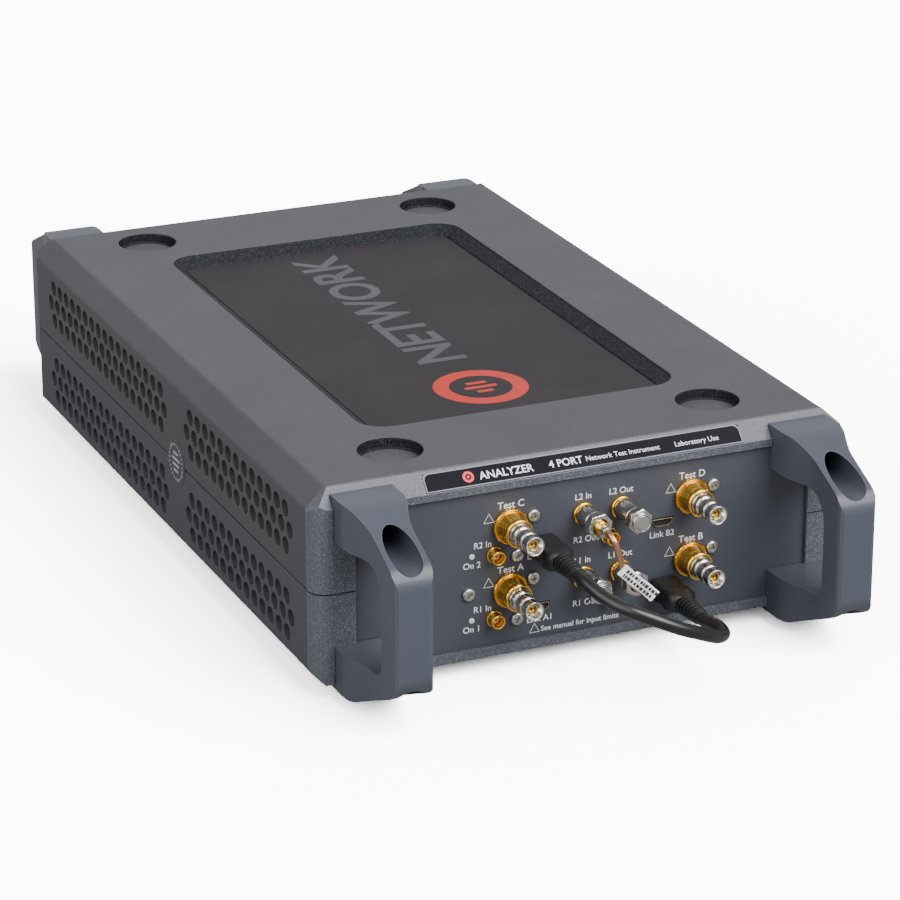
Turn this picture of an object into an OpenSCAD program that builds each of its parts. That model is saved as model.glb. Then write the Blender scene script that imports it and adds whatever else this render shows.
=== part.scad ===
// Benchtop vector network analyzer: two stacked two-port modules in one case with four handles.
// Frame: +X right, +Y back, +Z up. Origin at the bottom centre, on the surface the feet rest on.

/* [Case] */
// Width of the case
body_w = 196; // [192:1:210]
// Height of the case without its feet
body_h = 71; // [70:0.5:74]
// Length of the two covers
cover_l = 282; // [276:1:320]
// Wall thickness of the covers
wall = 3; // [2.5:0.1:3.2]
// Size of the 45 degree cuts along the long edges
edge_cut = 7; // [5:0.5:8]
// Gap of the seam between the upper and lower halves
seam = 0.6; // [0.4:0.1:1]
// Height of the rubber feet below the case
foot_h = 3; // [2:0.5:5]
// Diameter of the rubber feet
foot_d = 20; // [16:1:21]

/* [Top recesses] */
// Width of the label recess
recess_w = 118; // [100:1:120]
// Length of the label recess
recess_l = 200; // [160:1:206]
// Depth of the label recess and of the stacking sockets
recess_d = 4; // [3:0.5:4.5]
// Diameter of the stacking sockets
socket_d = 22; // [22:1:24]
// Distance of the sockets from the middle plane
socket_x = 59; // [56:1:64]
// Distance of the sockets from the ends of the covers
socket_y = 22; // [20:1:24]

/* [Vents] */
// Diameter of a vent hole
vent_d = 6.1; // [5:0.1:6.4]
// Pitch of the vent holes in a row
vent_pitch = 7.6; // [7.4:0.1:7.8]
// Holes in the long rows of the rear group
vent_rear = 17; // [10:1:17]
// Holes in the long rows of the front group
vent_front = 13; // [8:1:13]

/* [Bezels and panels] */
// Depth of the front bezel
front_bezel_d = 7; // [6:0.5:9]
// Depth of the rear bezel
rear_bezel_d = 4; // [4:0.5:6]
// How far the front panel lies behind the bezel face
panel_sink = 1.5; // [1:0.1:2]
// Thickness of the front and rear panels
panel_t = 2; // [1.5:0.1:2]

/* [Handles] */
// Reach of a handle in front of its bezel
handle_d = 41; // [39:1:44]
// Distance of a handle from the middle plane
handle_x = 80; // [80:0.5:82]
// Half width of a handle at its roots
root_half = 10.9; // [10:0.1:11]
// Half width of a handle at its grip
grip_half = 7; // [6.4:0.1:8]
// Diameter of the deep screw wells in a handle
well_d = 10.6; // [9:0.1:10.8]
// Height of the screw wells above and below the middle
well_v = 25; // [24.8:0.1:25.5]

/* [Connectors] */
// Height step between the two modules
module_pitch = 23; // [22:0.5:24]
// Height of the lower row of ports above the case bottom
port_z = 26; // [25:0.5:27]
// Places of the two port columns
port_x = [-28, 39];
// Places of the two local oscillator columns
lo_x = [-1, 13];
// Places of the two reference jack columns
ref_x = [-33.5, 8.5];
// Places of the two control socket columns
ctrl_x = [-17, 28.6];
// Across flats of the coaxial coupling nuts
nut_af = 8; // [7.8:0.1:8.2]

/* [Lead and jumper] */
// Diameter of the control lead
lead_d = 4.6; // [4:0.1:5]
// Diameter of the semi-rigid jumper
coax_d = 2.2; // [2:0.1:2.4]

/* [Hidden] */
$fn = 48;
eps = 0.01;
fit = 0.2;

total_l = cover_l + front_bezel_d + rear_bezel_d + 2 * handle_d;
y_cover = -total_l / 2 + handle_d + front_bezel_d;
y_rear = y_cover + cover_l;
y_face = y_cover - front_bezel_d;
y_back = y_rear + rear_bezel_d;
y_panel = y_face + panel_sink;
z_mid = foot_h + body_h / 2;
z_top = foot_h + body_h;

panel_w = 138;
panel_h = 55.2;
panel_z = foot_h + 34.7;
panel_wide = 166.6;
gap_half = 18.7;
root_back = 3.5;
lip_drop = 5.9;
base_drop = 3.4;
bezel_corner = 6.5;
tongue_l = 4.4;

row_z = [foot_h + port_z, foot_h + port_z + module_pitch];
ref_drop = 9.5;
ctrl_drop = 8.3;
light_x = -41.5;
light_drop = 9.2;

vent_rows = [9, 15.6, 22.2];
vent_front_y = y_cover + 18.3;
vent_rear_y = y_cover + 140.6;
seal_y = y_cover + 125.3;

tray_z = z_mid - 1;
tray_x = [-90, 68];
block_h = 17;
block_y = y_panel + 11;
fan_size = 60;
fan_t = 15;
fan_x = 74;
fan_y = [y_cover + 64, y_cover + 201];
case_screw_x = 86;
case_screw_y = [y_cover + 14, y_rear - 14];
handle_bolt_r = 2;

panel_screws = [[-19.3, 51.2], [-19.3, 28.8], [47.5, 51.5], [47.5, 28.8], [-25.2, 38], [-25.2, 15],
                [-42.8, 26.7]];
rear_screws = [[-62, 52], [-62, 17], [62, 52], [62, 17], [0, 17]];

// Route of the jumper: x, reach in front of the panel, height above the case bottom.
jumper_route = [[-1, 10, 49], [-1, 19, 49], [-0.6, 22, 47.8], [0.2, 23, 45.5], [1.2, 23, 42.5], [2.4, 22.6, 39],
                [4, 22.2, 35.5], [6, 21.8, 31.8], [8.5, 21.2, 28.6], [11, 20, 26.6], [12.6, 18, 26], [13, 16, 26],
                [13, 10, 26]];
// Route of the control lead, from the upper left plug to the lower right plug, in the same terms.
lead_route = [[-17, 30, 40.7], [-16.6, 33.5, 40.2], [-15.4, 37.5, 38.8], [-13.4, 42, 37.1], [-10.5, 46.8, 35.6],
              [-6, 51, 33.8], [0, 54, 31.4], [6.5, 55.4, 28.4], [12.5, 55.4, 25.8], [18, 54.2, 23.3],
              [22.8, 52, 20.9], [26.4, 49, 19.4], [28.6, 45.6, 18.8], [29.4, 42, 18.6], [29.4, 38.5, 18.5],
              [29, 35.5, 18.2], [28.6, 33, 17.8], [28.6, 30, 17.7]];

// Extrudes an X-Z outline along Y, from y0 over length l.
module along_y(y0, l) translate([0, y0 + l, 0]) rotate([90, 0, 0]) linear_extrude(l) children();

// Extrudes a Y-Z outline along X, from x0 over length l.
module along_x(x0, l) translate([x0, 0, 0]) rotate([90, 0, 90]) linear_extrude(l) children();

// Stands a turned piece on the front panel: its local +Z becomes the way out of the panel.
module on_panel(x, z) translate([x, y_panel, z]) rotate([90, 0, 0]) children();

// Same for the rear panel, pointing backwards.
module on_rear(x, z) translate([x, y_back - panel_sink, z]) rotate([-90, 0, 0]) children();

module box(x, y, z) translate([x[0], y[0], z[0]]) cube([x[1] - x[0], y[1] - y[0], z[1] - z[0]]);

module ring(r_out, r_in, h) difference() {
    cylinder(r = r_out, h = h);
    translate([0, 0, -1]) cylinder(r = r_in, h = h + 2);
}

module round_rect(w, l, r) {
    square([w - 2 * r, l], center = true);
    square([w, l - 2 * r], center = true);
    for (sx = [-1, 1], sy = [-1, 1]) translate([sx * (w / 2 - r), sy * (l / 2 - r)]) circle(r);
}

function arc(c, r, a0, a1, n) = [for (i = [0:n]) let (a = a0 + (a1 - a0) * i / n) c + r * [cos(a), sin(a)]];

// Tube along a list of points, as one closed polyhedron.
function unit(v) = v / norm(v);
function tangent(p, i) = unit(p[min(i + 1, len(p) - 1)] - p[max(i - 1, 0)]);
function side(t) = unit(cross(t, abs(t[2]) > 0.9 ? [1, 0, 0] : [0, 0, 1]));
module tube(p, r, n) {
    points = [for (i = [0:len(p) - 1], k = [0:n - 1])
        let (t = tangent(p, i), a = side(t), b = cross(t, a), q = 360 * k / n)
        p[i] + r * (a * cos(q) + b * sin(q))];
    walls = [for (i = [0:len(p) - 2], k = [0:n - 1])
        [i * n + k, (i + 1) * n + k, (i + 1) * n + (k + 1) % n, i * n + (k + 1) % n]];
    first = [for (k = [0:n - 1]) k];
    last = [for (k = [n - 1:-1:0]) (len(p) - 1) * n + k];
    polyhedron(points, concat([first], walls, [last]), convexity = 6);
}
function from_panel(route) = [for (q = route) [q[0], y_panel - q[1], foot_h + q[2]]];

// ---- case ----

module body_outline(shrink) {
    w = body_w / 2 - shrink;
    h = body_h / 2 - shrink;
    c = edge_cut - shrink * (2 - sqrt(2));
    translate([0, z_mid]) polygon([[-w, -h + c], [-w + c, -h], [w - c, -h], [w, -h + c],
                                   [w, h - c], [w - c, h], [-w + c, h], [-w, h - c]]);
}

// Keeps the upper half (s = 1) or the lower half (s = -1) of its child.
module half(s) difference() {
    children();
    translate([-200, -300, s > 0 ? z_mid + seam / 2 - 100 : z_mid - seam / 2]) cube([400, 600, 100]);
}

module vent_row(y0, z, count) for (i = [0:count - 1]) translate([y0 + i * vent_pitch, z]) circle(d = vent_d, $fn = 8);

module vents(s) along_x(-body_w / 2 - 1, body_w + 2) for (r = [0:2]) {
    z = z_mid + s * vent_rows[r];
    more = r == 1 ? 1 : 0;
    vent_row(vent_front_y - more * vent_pitch / 2, z, vent_front + more);
    vent_row(vent_rear_y - more * vent_pitch / 2, z, vent_rear + more);
}

module shell_half(s) half(s) difference() {
    along_y(y_cover, cover_l) body_outline(0);
    along_y(y_cover - 1, cover_l + 2) body_outline(wall);
    vents(s);
}

module cover_upper() color("#5d5e63") difference() {
    union() {
        shell_half(1);
        translate([0, (y_cover + y_rear) / 2 + 1, z_top - recess_d - 2])
            linear_extrude(recess_d + 1) round_rect(recess_w + 5, recess_l + 5, 12);
        for (sx = [-1, 1], y = [y_cover + socket_y, y_rear - socket_y + 4])
            translate([sx * socket_x, y, z_top - recess_d - 2]) cylinder(d = socket_d + 4, h = recess_d + 1);
        for (sx = [-1, 1], y = case_screw_y)
            translate([sx * case_screw_x, y, z_mid + 12]) cylinder(r = 4, h = body_h / 2 - 14);
    }
    translate([0, (y_cover + y_rear) / 2 + 1, z_top - recess_d])
        linear_extrude(recess_d + 1) round_rect(recess_w, recess_l, 10);
    for (sx = [-1, 1], y = [y_cover + socket_y, y_rear - socket_y + 4])
        translate([sx * socket_x, y, z_top - recess_d]) cylinder(d = socket_d, h = recess_d + 1);
    for (sx = [-1, 1], y = case_screw_y)
        translate([sx * case_screw_x, y, z_mid + 10]) cylinder(r = 1.6, h = body_h / 2 - 16);
}

module cover_lower() color("#55565b") difference() {
    union() {
        shell_half(-1);
        for (sx = [-1, 1], y = case_screw_y)
            translate([sx * case_screw_x, y, foot_h + 1]) cylinder(r = 4, h = body_h / 2 - 6);
    }
    for (sx = [-1, 1], y = case_screw_y) {
        translate([sx * case_screw_x, y, 0]) cylinder(r = 1.7, h = body_h);
        translate([sx * case_screw_x, y, foot_h - 1]) cylinder(r = 3.2, h = 3.4);
    }
    for (sx = [-1, 1], y = [y_cover + socket_y, y_rear - socket_y + 4])
        translate([sx * socket_x, y, 0]) cylinder(r = 2.6, h = foot_h + wall + 2);
}

module rubber_feet() color("#1c1c1e") for (sx = [-1, 1], y = [y_cover + socket_y, y_rear - socket_y + 4])
    translate([sx * socket_x, y, 0]) {
        cylinder(d1 = foot_d - 1.6, d2 = foot_d, h = 0.8);
        translate([0, 0, 0.8 - eps]) cylinder(d = foot_d, h = foot_h - 0.8);
        translate([0, 0, foot_h - eps]) cylinder(r = 2.5, h = wall + 1);
    }

module case_screws() color("silver") for (sx = [-1, 1], y = case_screw_y) translate([sx * case_screw_x, y, 0])
    difference() {
        union() {
            translate([0, 0, foot_h + 0.4]) cylinder(r = 3, h = 2);
            translate([0, 0, foot_h + 2]) cylinder(r = 1.5, h = body_h / 2 + 22);
        }
        translate([0, 0, foot_h]) linear_extrude(1.6) cross_slot(3.6, 0.8);
    }

module cross_slot(l, w) {
    square([l, w], center = true);
    square([w, l], center = true);
}

module top_label() color("#454144") translate([0, (y_cover + y_rear) / 2 + 1, z_top - recess_d])
    linear_extrude(0.4) round_rect(recess_w - 0.6, recess_l - 0.6, 9.7);

module seal_stickers() color("#8d8e92") for (s = [-1, 1])
    translate([s * body_w / 2, seal_y, z_mid]) rotate([0, s * 90, 0]) cylinder(r = 9, h = 0.3);

// ---- bezels and panels ----

// Outline of the panel: full height between the handles, low beside them.
module panel_outline(grow) {
    translate([0, panel_z]) square([panel_w + 2 * grow, panel_h + 2 * grow], center = true);
    translate([0, z_mid]) square([panel_wide + 2 * grow, 2 * gap_half + 2 * grow - 0.4], center = true);
}

// Bezel around the front (back = 0) of a case whose cover starts at y = 0; the face is at y = -d.
module bezel_ring(d, drop) {
    w = body_w / 2;
    r = min(bezel_corner, d);
    difference() {
        union() {
            intersection() {
                along_y(-d, d) body_outline(0);
                along_x(-w, 2 * w) polygon([[0, foot_h], [0, z_top], [drop - d, z_top], [-d, z_top - drop],
                                            [-d, foot_h + base_drop]]);
                translate([0, 0, foot_h]) linear_extrude(body_h) polygon(concat(
                    [[w, 0]], arc([w - r, r - d], r, 0, -90, 8), arc([r - w, r - d], r, -90, -180, 8), [[-w, 0]]));
            }
            difference() {
                along_y(-eps, tongue_l) body_outline(wall + fit);
                along_y(-1, tongue_l + 2) body_outline(wall + 2.2);
            }
            for (sx = [-1, 1], sv = [-1, 1]) translate([sx * handle_x, -eps, z_mid + sv * well_v])
                rotate([-90, 0, 0]) cylinder(r = 5, h = 7);
        }
        along_y(-d - 1, panel_sink + panel_t + 1) panel_outline(fit);
        along_y(-d, 60) intersection() {
            panel_outline(-3);
            square([panel_wide, 200], center = true);
        }
        for (sx = [-1, 1], sv = [-1, 1]) {
            z0 = sv > 0 ? z_mid + gap_half - 0.1 : foot_h - 1;
            z1 = sv > 0 ? z_top + 1 : z_mid - gap_half + 0.1;
            x0 = sx * handle_x - root_half - fit;
            box([x0, x0 + 2 * root_half + 2 * fit], [-d - 1, root_back - d], [z0, z1]);
            translate([sx * handle_x, -d, z_mid + sv * well_v]) rotate([-90, 0, 0])
                cylinder(r = handle_bolt_r + 0.1, h = d + 8);
        }
    }
}

module front_bezel(s) difference() {
    half(s) translate([0, y_cover, 0]) bezel_ring(front_bezel_d, lip_drop);
    if (s > 0) strip_body(0.1, 1);
}

// The inset strip on the slope of the upper bezel, between two depths below the slope.
module strip_body(grow, rise) {
    n = [-1, 1] / sqrt(2);
    t = [-1, -1] / sqrt(2);
    top = [y_cover - (front_bezel_d - lip_drop), z_top];
    a = top + t * (1.2 - grow);
    b = top + t * (8 + grow);
    along_x(-58 - grow, 116 + 2 * grow) polygon([a - 0.4 * n, a + rise * n, b + rise * n, b - 0.4 * n]);
}

module bezel_front_upper() color("#3f444f") front_bezel(1);
module bezel_front_lower() color("#3f444f") front_bezel(-1);
module rear_bezel(s) half(s) translate([0, y_rear, 0]) mirror([0, 1, 0]) bezel_ring(rear_bezel_d, rear_bezel_d - 0.5);
module bezel_rear_upper() color("#3f444f") rear_bezel(1);
module bezel_rear_lower() color("#3f444f") rear_bezel(-1);
module label_strip() color("#32343e") strip_body(0, -0.05);

module front_panel() color("#474a55") difference() {
    along_y(y_panel, panel_t) panel_outline(0);
    for (z = row_z) {
        for (x = port_x) on_panel(x, z) translate([0, 0, -5]) cylinder(r = 4.6, h = 10);
        for (x = lo_x) on_panel(x, z) translate([0, 0, -5]) cylinder(r = 3.3, h = 10);
        for (x = ref_x) on_panel(x, z - ref_drop) translate([0, 0, -5]) cylinder(r = 2.2, h = 10);
        for (x = ctrl_x) on_panel(x, z - ctrl_drop) translate([0, 0, -5]) linear_extrude(10) socket_outline(0.35);
        on_panel(light_x, z - light_drop) translate([0, 0, -5]) cylinder(r = 1.1, h = 10);
    }
    for (q = panel_screws) on_panel(q[0], foot_h + q[1]) translate([0, 0, -5]) cylinder(r = 1.35, h = 10);
}

module rear_panel() color("#474a55") difference() {
    along_y(y_back - panel_sink - panel_t, panel_t) panel_outline(0);
    for (q = rear_screws) on_rear(q[0], foot_h + q[1]) translate([0, 0, -5]) cylinder(r = 1.35, h = 10);
    for (x = [10, 26, 42]) on_rear(x, foot_h + 44) translate([0, 0, -5]) cylinder(r = 3.3, h = 10);
    on_rear(-40, foot_h + 34) translate([0, 0, -5]) cylinder(r = 6.3, h = 10);
    on_rear(-16, foot_h + 34) translate([0, 0, -5]) linear_extrude(10) round_rect(9.4, 3.8, 1.8);
    on_rear(56, foot_h + 30) translate([0, 0, -5]) cylinder(r = 2.1, h = 10);
}

module screw_head(r, h) difference() {
    union() {
        cylinder(r1 = r, r2 = r - 0.5, h = h);
        translate([0, 0, -6]) cylinder(r = 1.25, h = 6 + eps);
    }
    translate([0, 0, h - 1]) linear_extrude(2) cross_slot(2.4, 0.7);
}

module panel_screws() color("gainsboro") {
    for (q = panel_screws) on_panel(q[0], foot_h + q[1]) screw_head(2.3, 1.6);
    for (q = rear_screws) on_rear(q[0], foot_h + q[1]) screw_head(2.3, 1.6);
}

// ---- handles ----

// Side outline of a handle: reach in front of the bezel against height above the middle.
shoulder_r = 16;
nose_r = 9;
slope_a = 24;
root_top = 34;
nose_u = handle_d - nose_r;
nose_v = root_top - shoulder_r * (1 - cos(slope_a)) + nose_r * -cos(slope_a)
         - tan(slope_a) * (nose_u + nose_r * sin(slope_a) - 8 - shoulder_r * sin(slope_a));
function half_side() = concat([[-root_back, root_top]], arc([8, root_top - shoulder_r], shoulder_r, 90, 90 - slope_a, 6),
                              arc([nose_u, nose_v], nose_r, 90 - slope_a, 0, 8));
function flipped(p) = [for (i = [len(p) - 1:-1:0]) [p[i][0], -p[i][1]]];

// Half width of a handle along its reach, from the root to the grip.
function half_width(u) = grip_half + (root_half - grip_half) * (0.5 + 0.5 * cos(180 * min(1, max(0, (u - 5) / 19))));
function plan_side() = concat([[root_half, -root_back]], [for (u = [5:2.375:24]) [half_width(u), u]],
                              [[grip_half, handle_d - 1.6], [grip_half - 1.4, handle_d]]);

module handle_outline() polygon(concat(half_side(), flipped(half_side())));

module finger_gap() polygon(concat(
    [[-root_back - 1, gap_half]], arc([19, gap_half - 11], 11, 90, 0, 8), arc([24, 6 - gap_half], 6, 0, -90, 6),
    [[-root_back - 1, -gap_half]]));

// Handle with its root at y = 0 and its grip at y = -handle_d, centred on x = 0 and z = 0.
module handle() mirror([0, 1, 0]) difference() {
    intersection() {
        along_x(-20, 40) handle_outline();
        translate([0, 0, -50]) linear_extrude(100) polygon(concat(
            plan_side(), [for (i = [len(plan_side()) - 1:-1:0]) [-plan_side()[i][0], plan_side()[i][1]]]));
    }
    along_x(-21, 42) finger_gap();
    for (v = [-well_v, well_v]) {
        translate([0, 2, v]) rotate([-90, 0, 0]) cylinder(d = well_d, h = handle_d);
        translate([0, -root_back - 1, v]) rotate([-90, 0, 0]) cylinder(r = handle_bolt_r + 0.25, h = 10);
    }
}

module front_handle(s) color("#3d424d") translate([s * handle_x, y_face, z_mid]) handle();
module rear_handle(s) color("#3d424d") translate([s * handle_x, y_back, z_mid]) rotate([0, 0, 180]) handle();
module handle_front_left() front_handle(-1);
module handle_front_right() front_handle(1);
module handle_rear_left() rear_handle(-1);
module handle_rear_right() rear_handle(1);

module socket_screw() difference() {
    union() {
        cylinder(r = 3.5, h = 4);
        translate([0, 0, -12]) cylinder(r = handle_bolt_r, h = 12 + eps);
    }
    translate([0, 0, 2]) cylinder(r = 1.73, h = 3, $fn = 6);
}

module handle_screws() color("#2a2c31") for (sx = [-1, 1], sv = [-1, 1]) {
    translate([sx * handle_x, y_face - 2, z_mid + sv * well_v]) rotate([90, 0, 0]) socket_screw();
    translate([sx * handle_x, y_back + 2, z_mid + sv * well_v]) rotate([-90, 0, 0]) socket_screw();
}

// ---- test ports ----

module port_flange() difference() {
    union() {
        translate([0, 0, -4]) cylinder(r = 4.5, h = 4 + eps);
        cylinder(r = 6.2, h = 1.7);
        translate([0, 0, 1.7 - eps]) cylinder(r1 = 6.2, r2 = 5.7, h = 0.5);
        translate([0, 0, 2]) cylinder(r1 = 5.4, r2 = 4.8, h = 4.5);
        translate([0, 0, 6.4]) cylinder(r = 5, h = 2.8);
    }
    translate([0, 0, 1.6]) ring(5.8, 5.4, 1);
    translate([0, 0, -5]) cylinder(r = 3, h = 20);
    translate([0, 0, 8]) cylinder(r = 4.2, h = 3);
}

module port_barrel() difference() {
    union() {
        translate([0, 0, -10]) cylinder(r = 2.98, h = 20);
        translate([0, 0, 8]) cylinder(r = 4.1, h = 1.2);
        translate([0, 0, 9.1]) cylinder(r = 3.7, h = 2.7);
        translate([0, 0, 11.7]) cylinder(r = 3.1, h = 1.1);
        translate([0, 0, 12.7]) cylinder(r = 3.5, h = 3.6);
        translate([0, 0, 16.2]) cylinder(r = 3, h = 1);
        translate([0, 0, 17.1]) cylinder(r = 3.4, h = 3.6);
    }
    translate([0, 0, 18.6]) cylinder(r1 = 1.9, r2 = 2.8, h = 2.1 + eps);
    translate([0, 0, -11]) cylinder(r = 1.6, h = 40);
}

module port_contact() {
    translate([0, 0, -9]) cylinder(r = 1.58, h = 26.8);
    translate([0, 0, 17.7]) cylinder(r = 0.5, h = 1.8);
}

module at_port(n) on_panel(port_x[(n - 1) % 2], row_z[n > 2 ? 1 : 0]) children();
module port_1_flange() color("#d9a441") at_port(1) port_flange();
module port_2_flange() color("#d9a441") at_port(2) port_flange();
module port_3_flange() color("#d9a441") at_port(3) port_flange();
module port_4_flange() color("#d9a441") at_port(4) port_flange();
module port_1_barrel() color("silver") at_port(1) port_barrel();
module port_2_barrel() color("silver") at_port(2) port_barrel();
module port_3_barrel() color("silver") at_port(3) port_barrel();
module port_4_barrel() color("silver") at_port(4) port_barrel();
module port_contacts() color("#c8963c") for (n = [1:4]) at_port(n) port_contact();

// ---- coaxial jacks, sockets and lights ----

thread_r = 3.175;
thread_end = 9;

module lo_jack() difference() {
    union() {
        cylinder(r = 4, h = 1.6);
        translate([0, 0, -8]) cylinder(r = 3.2, h = 8 + eps);
        translate([0, 0, 1.5]) cylinder(r = thread_r, h = thread_end - 1.5);
    }
    translate([0, 0, 6.8]) cylinder(r = 2.3, h = 3);
    translate([0, 0, 3]) cylinder(r = 0.65, h = 5);
}

module lo1_in_jack() color("#d9a441") on_panel(lo_x[0], row_z[0]) lo_jack();
module lo1_out_jack() color("#d9a441") on_panel(lo_x[1], row_z[0]) lo_jack();
module lo2_in_jack() color("#d9a441") on_panel(lo_x[0], row_z[1]) lo_jack();
module lo2_out_jack() color("#d9a441") on_panel(lo_x[1], row_z[1]) lo_jack();

module ref_jack() difference() {
    union() {
        translate([0, 0, -3.4]) cylinder(r = 2.15, h = 5);
        cylinder(r = 2.9, h = 0.8);
        translate([0, 0, 0.7]) cylinder(r = 2.5, h = 4);
    }
    translate([0, 0, 1]) cylinder(r = 1.8, h = 5);
}

module ref_jacks() color("#d9a441") for (x = ref_x, z = row_z) on_panel(x, z - ref_drop) {
    ref_jack();
    cylinder(r = 0.5, h = 3.6);
}

// Outline of a small control socket: straight top, cut lower corners.
module socket_outline(grow) {
    w = 3.75 + grow;
    h = 1.45 + grow;
    polygon([[-w, h], [w, h], [w, -0.2], [w - 1.3, -h], [1.3 - w, -h], [-w, -0.2]]);
}

module ctrl_socket() difference() {
    translate([0, 0, -5.4]) linear_extrude(5.7) socket_outline(0);
    translate([0, 0, -4.8]) linear_extrude(6) difference() {
        socket_outline(-0.3);
        translate([-2.6, 0]) square([5.2, 0.7]);
    }
}

module ctrl_sockets() color("#b9b3a4") for (x = ctrl_x, z = row_z) on_panel(x, z - ctrl_drop) ctrl_socket();

module status_lights() color("#d8dccb") for (z = row_z) on_panel(light_x, z - light_drop)
    translate([0, 0, -3.4]) cylinder(r = 1, h = 3.7);

// ---- terminator caps and jumper ----

// Coupling nut: plain sleeve over the thread, then the hexagon.
module coupling_nut(sleeve, face) difference() {
    union() {
        translate([0, 0, 3]) cylinder(r = 3.85, h = sleeve - 3 + eps);
        translate([0, 0, sleeve]) cylinder(r = nut_af / sqrt(3), h = face - sleeve, $fn = 6);
    }
    translate([0, 0, 2]) cylinder(r = thread_r + 0.07, h = 8);
    translate([0, 0, 2]) cylinder(r = 2.35, h = 20);
}

module cap_nut() coupling_nut(12, 15.2);
module cap_load() {
    translate([0, 0, 9.05]) cylinder(r = 2.6, h = 0.9);
    translate([0, 0, 9.1]) cylinder(r = 2.3, h = 6.4);
    translate([0, 0, 15.3]) cylinder(r = 3.4, h = 1.3);
}

module cap_nut_lo2_out() color("gainsboro") on_panel(lo_x[1], row_z[1]) cap_nut();
module cap_load_lo2_out() color("silver") on_panel(lo_x[1], row_z[1]) cap_load();
module cap_nut_lo1_in() color("gainsboro") on_panel(lo_x[0], row_z[0]) cap_nut();
module cap_load_lo1_in() color("silver") on_panel(lo_x[0], row_z[0]) cap_load();

module jumper_nut_lo2_in() color("gainsboro") on_panel(lo_x[0], row_z[1]) coupling_nut(10.2, 13.7);
module jumper_nut_lo1_out() color("gainsboro") on_panel(lo_x[1], row_z[0]) coupling_nut(10.2, 13.7);

module ferrule() difference() {
    union() {
        translate([0, 0, 9.05]) cylinder(r = 2.6, h = 0.9);
        translate([0, 0, 9.1]) cylinder(r = 2.28, h = 5.7);
        translate([0, 0, 14.7]) cylinder(r1 = 2.28, r2 = 1.6, h = 1.3);
    }
    translate([0, 0, 8]) cylinder(r = coax_d / 2 + 0.05, h = 20);
}

module jumper_ferrules() color("#d9a441") {
    on_panel(lo_x[0], row_z[1]) ferrule();
    on_panel(lo_x[1], row_z[0]) ferrule();
}

module jumper_coax() color("#c98d68") tube(from_panel(jumper_route), coax_d / 2, 12);

module jumper_label() color("white") translate([7.2, y_panel - 25.5, foot_h + 32.2]) rotate([0, 40, -26])
    cube([15, 0.5, 4.3], center = true);

// ---- control lead ----

module control_plug() {
    translate([0, 0, 1]) linear_extrude(17) round_rect(10.6, 7.6, 2);
    translate([0, 0, 18 - eps]) cylinder(r1 = 3.5, r2 = 2.7, h = 12);
    translate([0, 0, -3.8]) linear_extrude(5) polygon([[-3.3, 1], [3.3, 1], [3.3, -0.2], [2.2, -0.95], [-2.2, -0.95],
                                                         [-3.3, -0.2]]);
}

module plug_at(x, z, lift) on_panel(x, z - ctrl_drop) difference() {
    control_plug();
    translate([-2.75, -0.05, -4.9]) cube([5.5, 0.8, 5.2]);
    translate([0, 0, lift]) cylinder(r = lead_d / 2 + 0.02, h = 20);
}

module control_plug_s2() color("#1b1b1d") plug_at(ctrl_x[0], row_z[1], 29.9);
module control_plug_m1() color("#1b1b1d") plug_at(ctrl_x[1], row_z[0], 29.9);
module control_cable() color("#1f1f22") tube(from_panel(lead_route), lead_d / 2, 10);

// ---- inside ----

module chassis_tray() color("#a9acb0") difference() {
    box(tray_x, [y_panel + 9, y_rear - 10], [tray_z, tray_z + 2]);
    for (x = [-60, -20, 20, 50], y = [-20:40:100]) translate([x, y, tray_z - 1]) cylinder(r = 6, h = 4);
    for (y = case_screw_y) translate([-case_screw_x, y, tray_z - 1]) cylinder(r = 1.8, h = 4);
}

module front_board() color("#2f6b45") difference() {
    along_y(y_panel + panel_t + 1.6, 1.6) translate([0, panel_z]) square([118, 46], center = true);
    for (z = row_z) {
        for (x = port_x) on_panel(x, z) translate([0, 0, -12]) cylinder(r = 5, h = 12);
        for (x = lo_x) on_panel(x, z) translate([0, 0, -12]) cylinder(r = 3.6, h = 12);
        for (x = ref_x) on_panel(x, z - ref_drop) translate([0, 0, -12]) cylinder(r = 2.5, h = 12);
        for (x = ctrl_x) on_panel(x, z - ctrl_drop) translate([0, 0, -12]) linear_extrude(12) socket_outline(0.3);
    }
    for (q = panel_screws) on_panel(q[0], foot_h + q[1]) translate([0, 0, -12]) cylinder(r = 1.6, h = 12);
}

module rf_block(z) difference() {
    box([-50, 56], [block_y, block_y + 100], [z - block_h / 2, z + block_h / 2]);
    for (x = [-46, 52], y = [block_y + 5, block_y + 50, block_y + 95])
        translate([x, y, z - block_h]) cylinder(r = 1.6, h = 2 * block_h);
    for (x = [-30:20:30]) box([x, x + 12], [block_y + 14, block_y + 86], [z + block_h / 2 - 3, z + block_h]);
}

module rf_block_lower() color("#b4b7bb") rf_block(row_z[0]);
module rf_block_upper() color("#b4b7bb") rf_block(row_z[1]);

module board(z, up) {
    box([-80, 66], [block_y + 4, y_rear - 24], [z, z + 1.6]);
    for (x = [-76, -63], y = [-110:22:90]) box([x, x + 9], [y, y + 13], up > 0 ? [z + 1.5, z + 3.2] : [z - 1.6, z + 0.1]);
}

module module_board_lower() color("#2f6b45") board(row_z[0] - block_h / 2 - 4, 1);
module module_board_upper() color("#2f6b45") board(row_z[1] + block_h / 2 + 1, -1);

module heat_sink(z) {
    box([-50, 56], [block_y + 106, block_y + 176], [z, z + 4]);
    for (x = [-50:6.6:54]) box([x, x + 2], [block_y + 106, block_y + 176], [z + 3.9, z + 15]);
}

module heat_sinks() color("#8e9196") {
    heat_sink(tray_z - 18);
    heat_sink(tray_z + 3);
}

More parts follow.
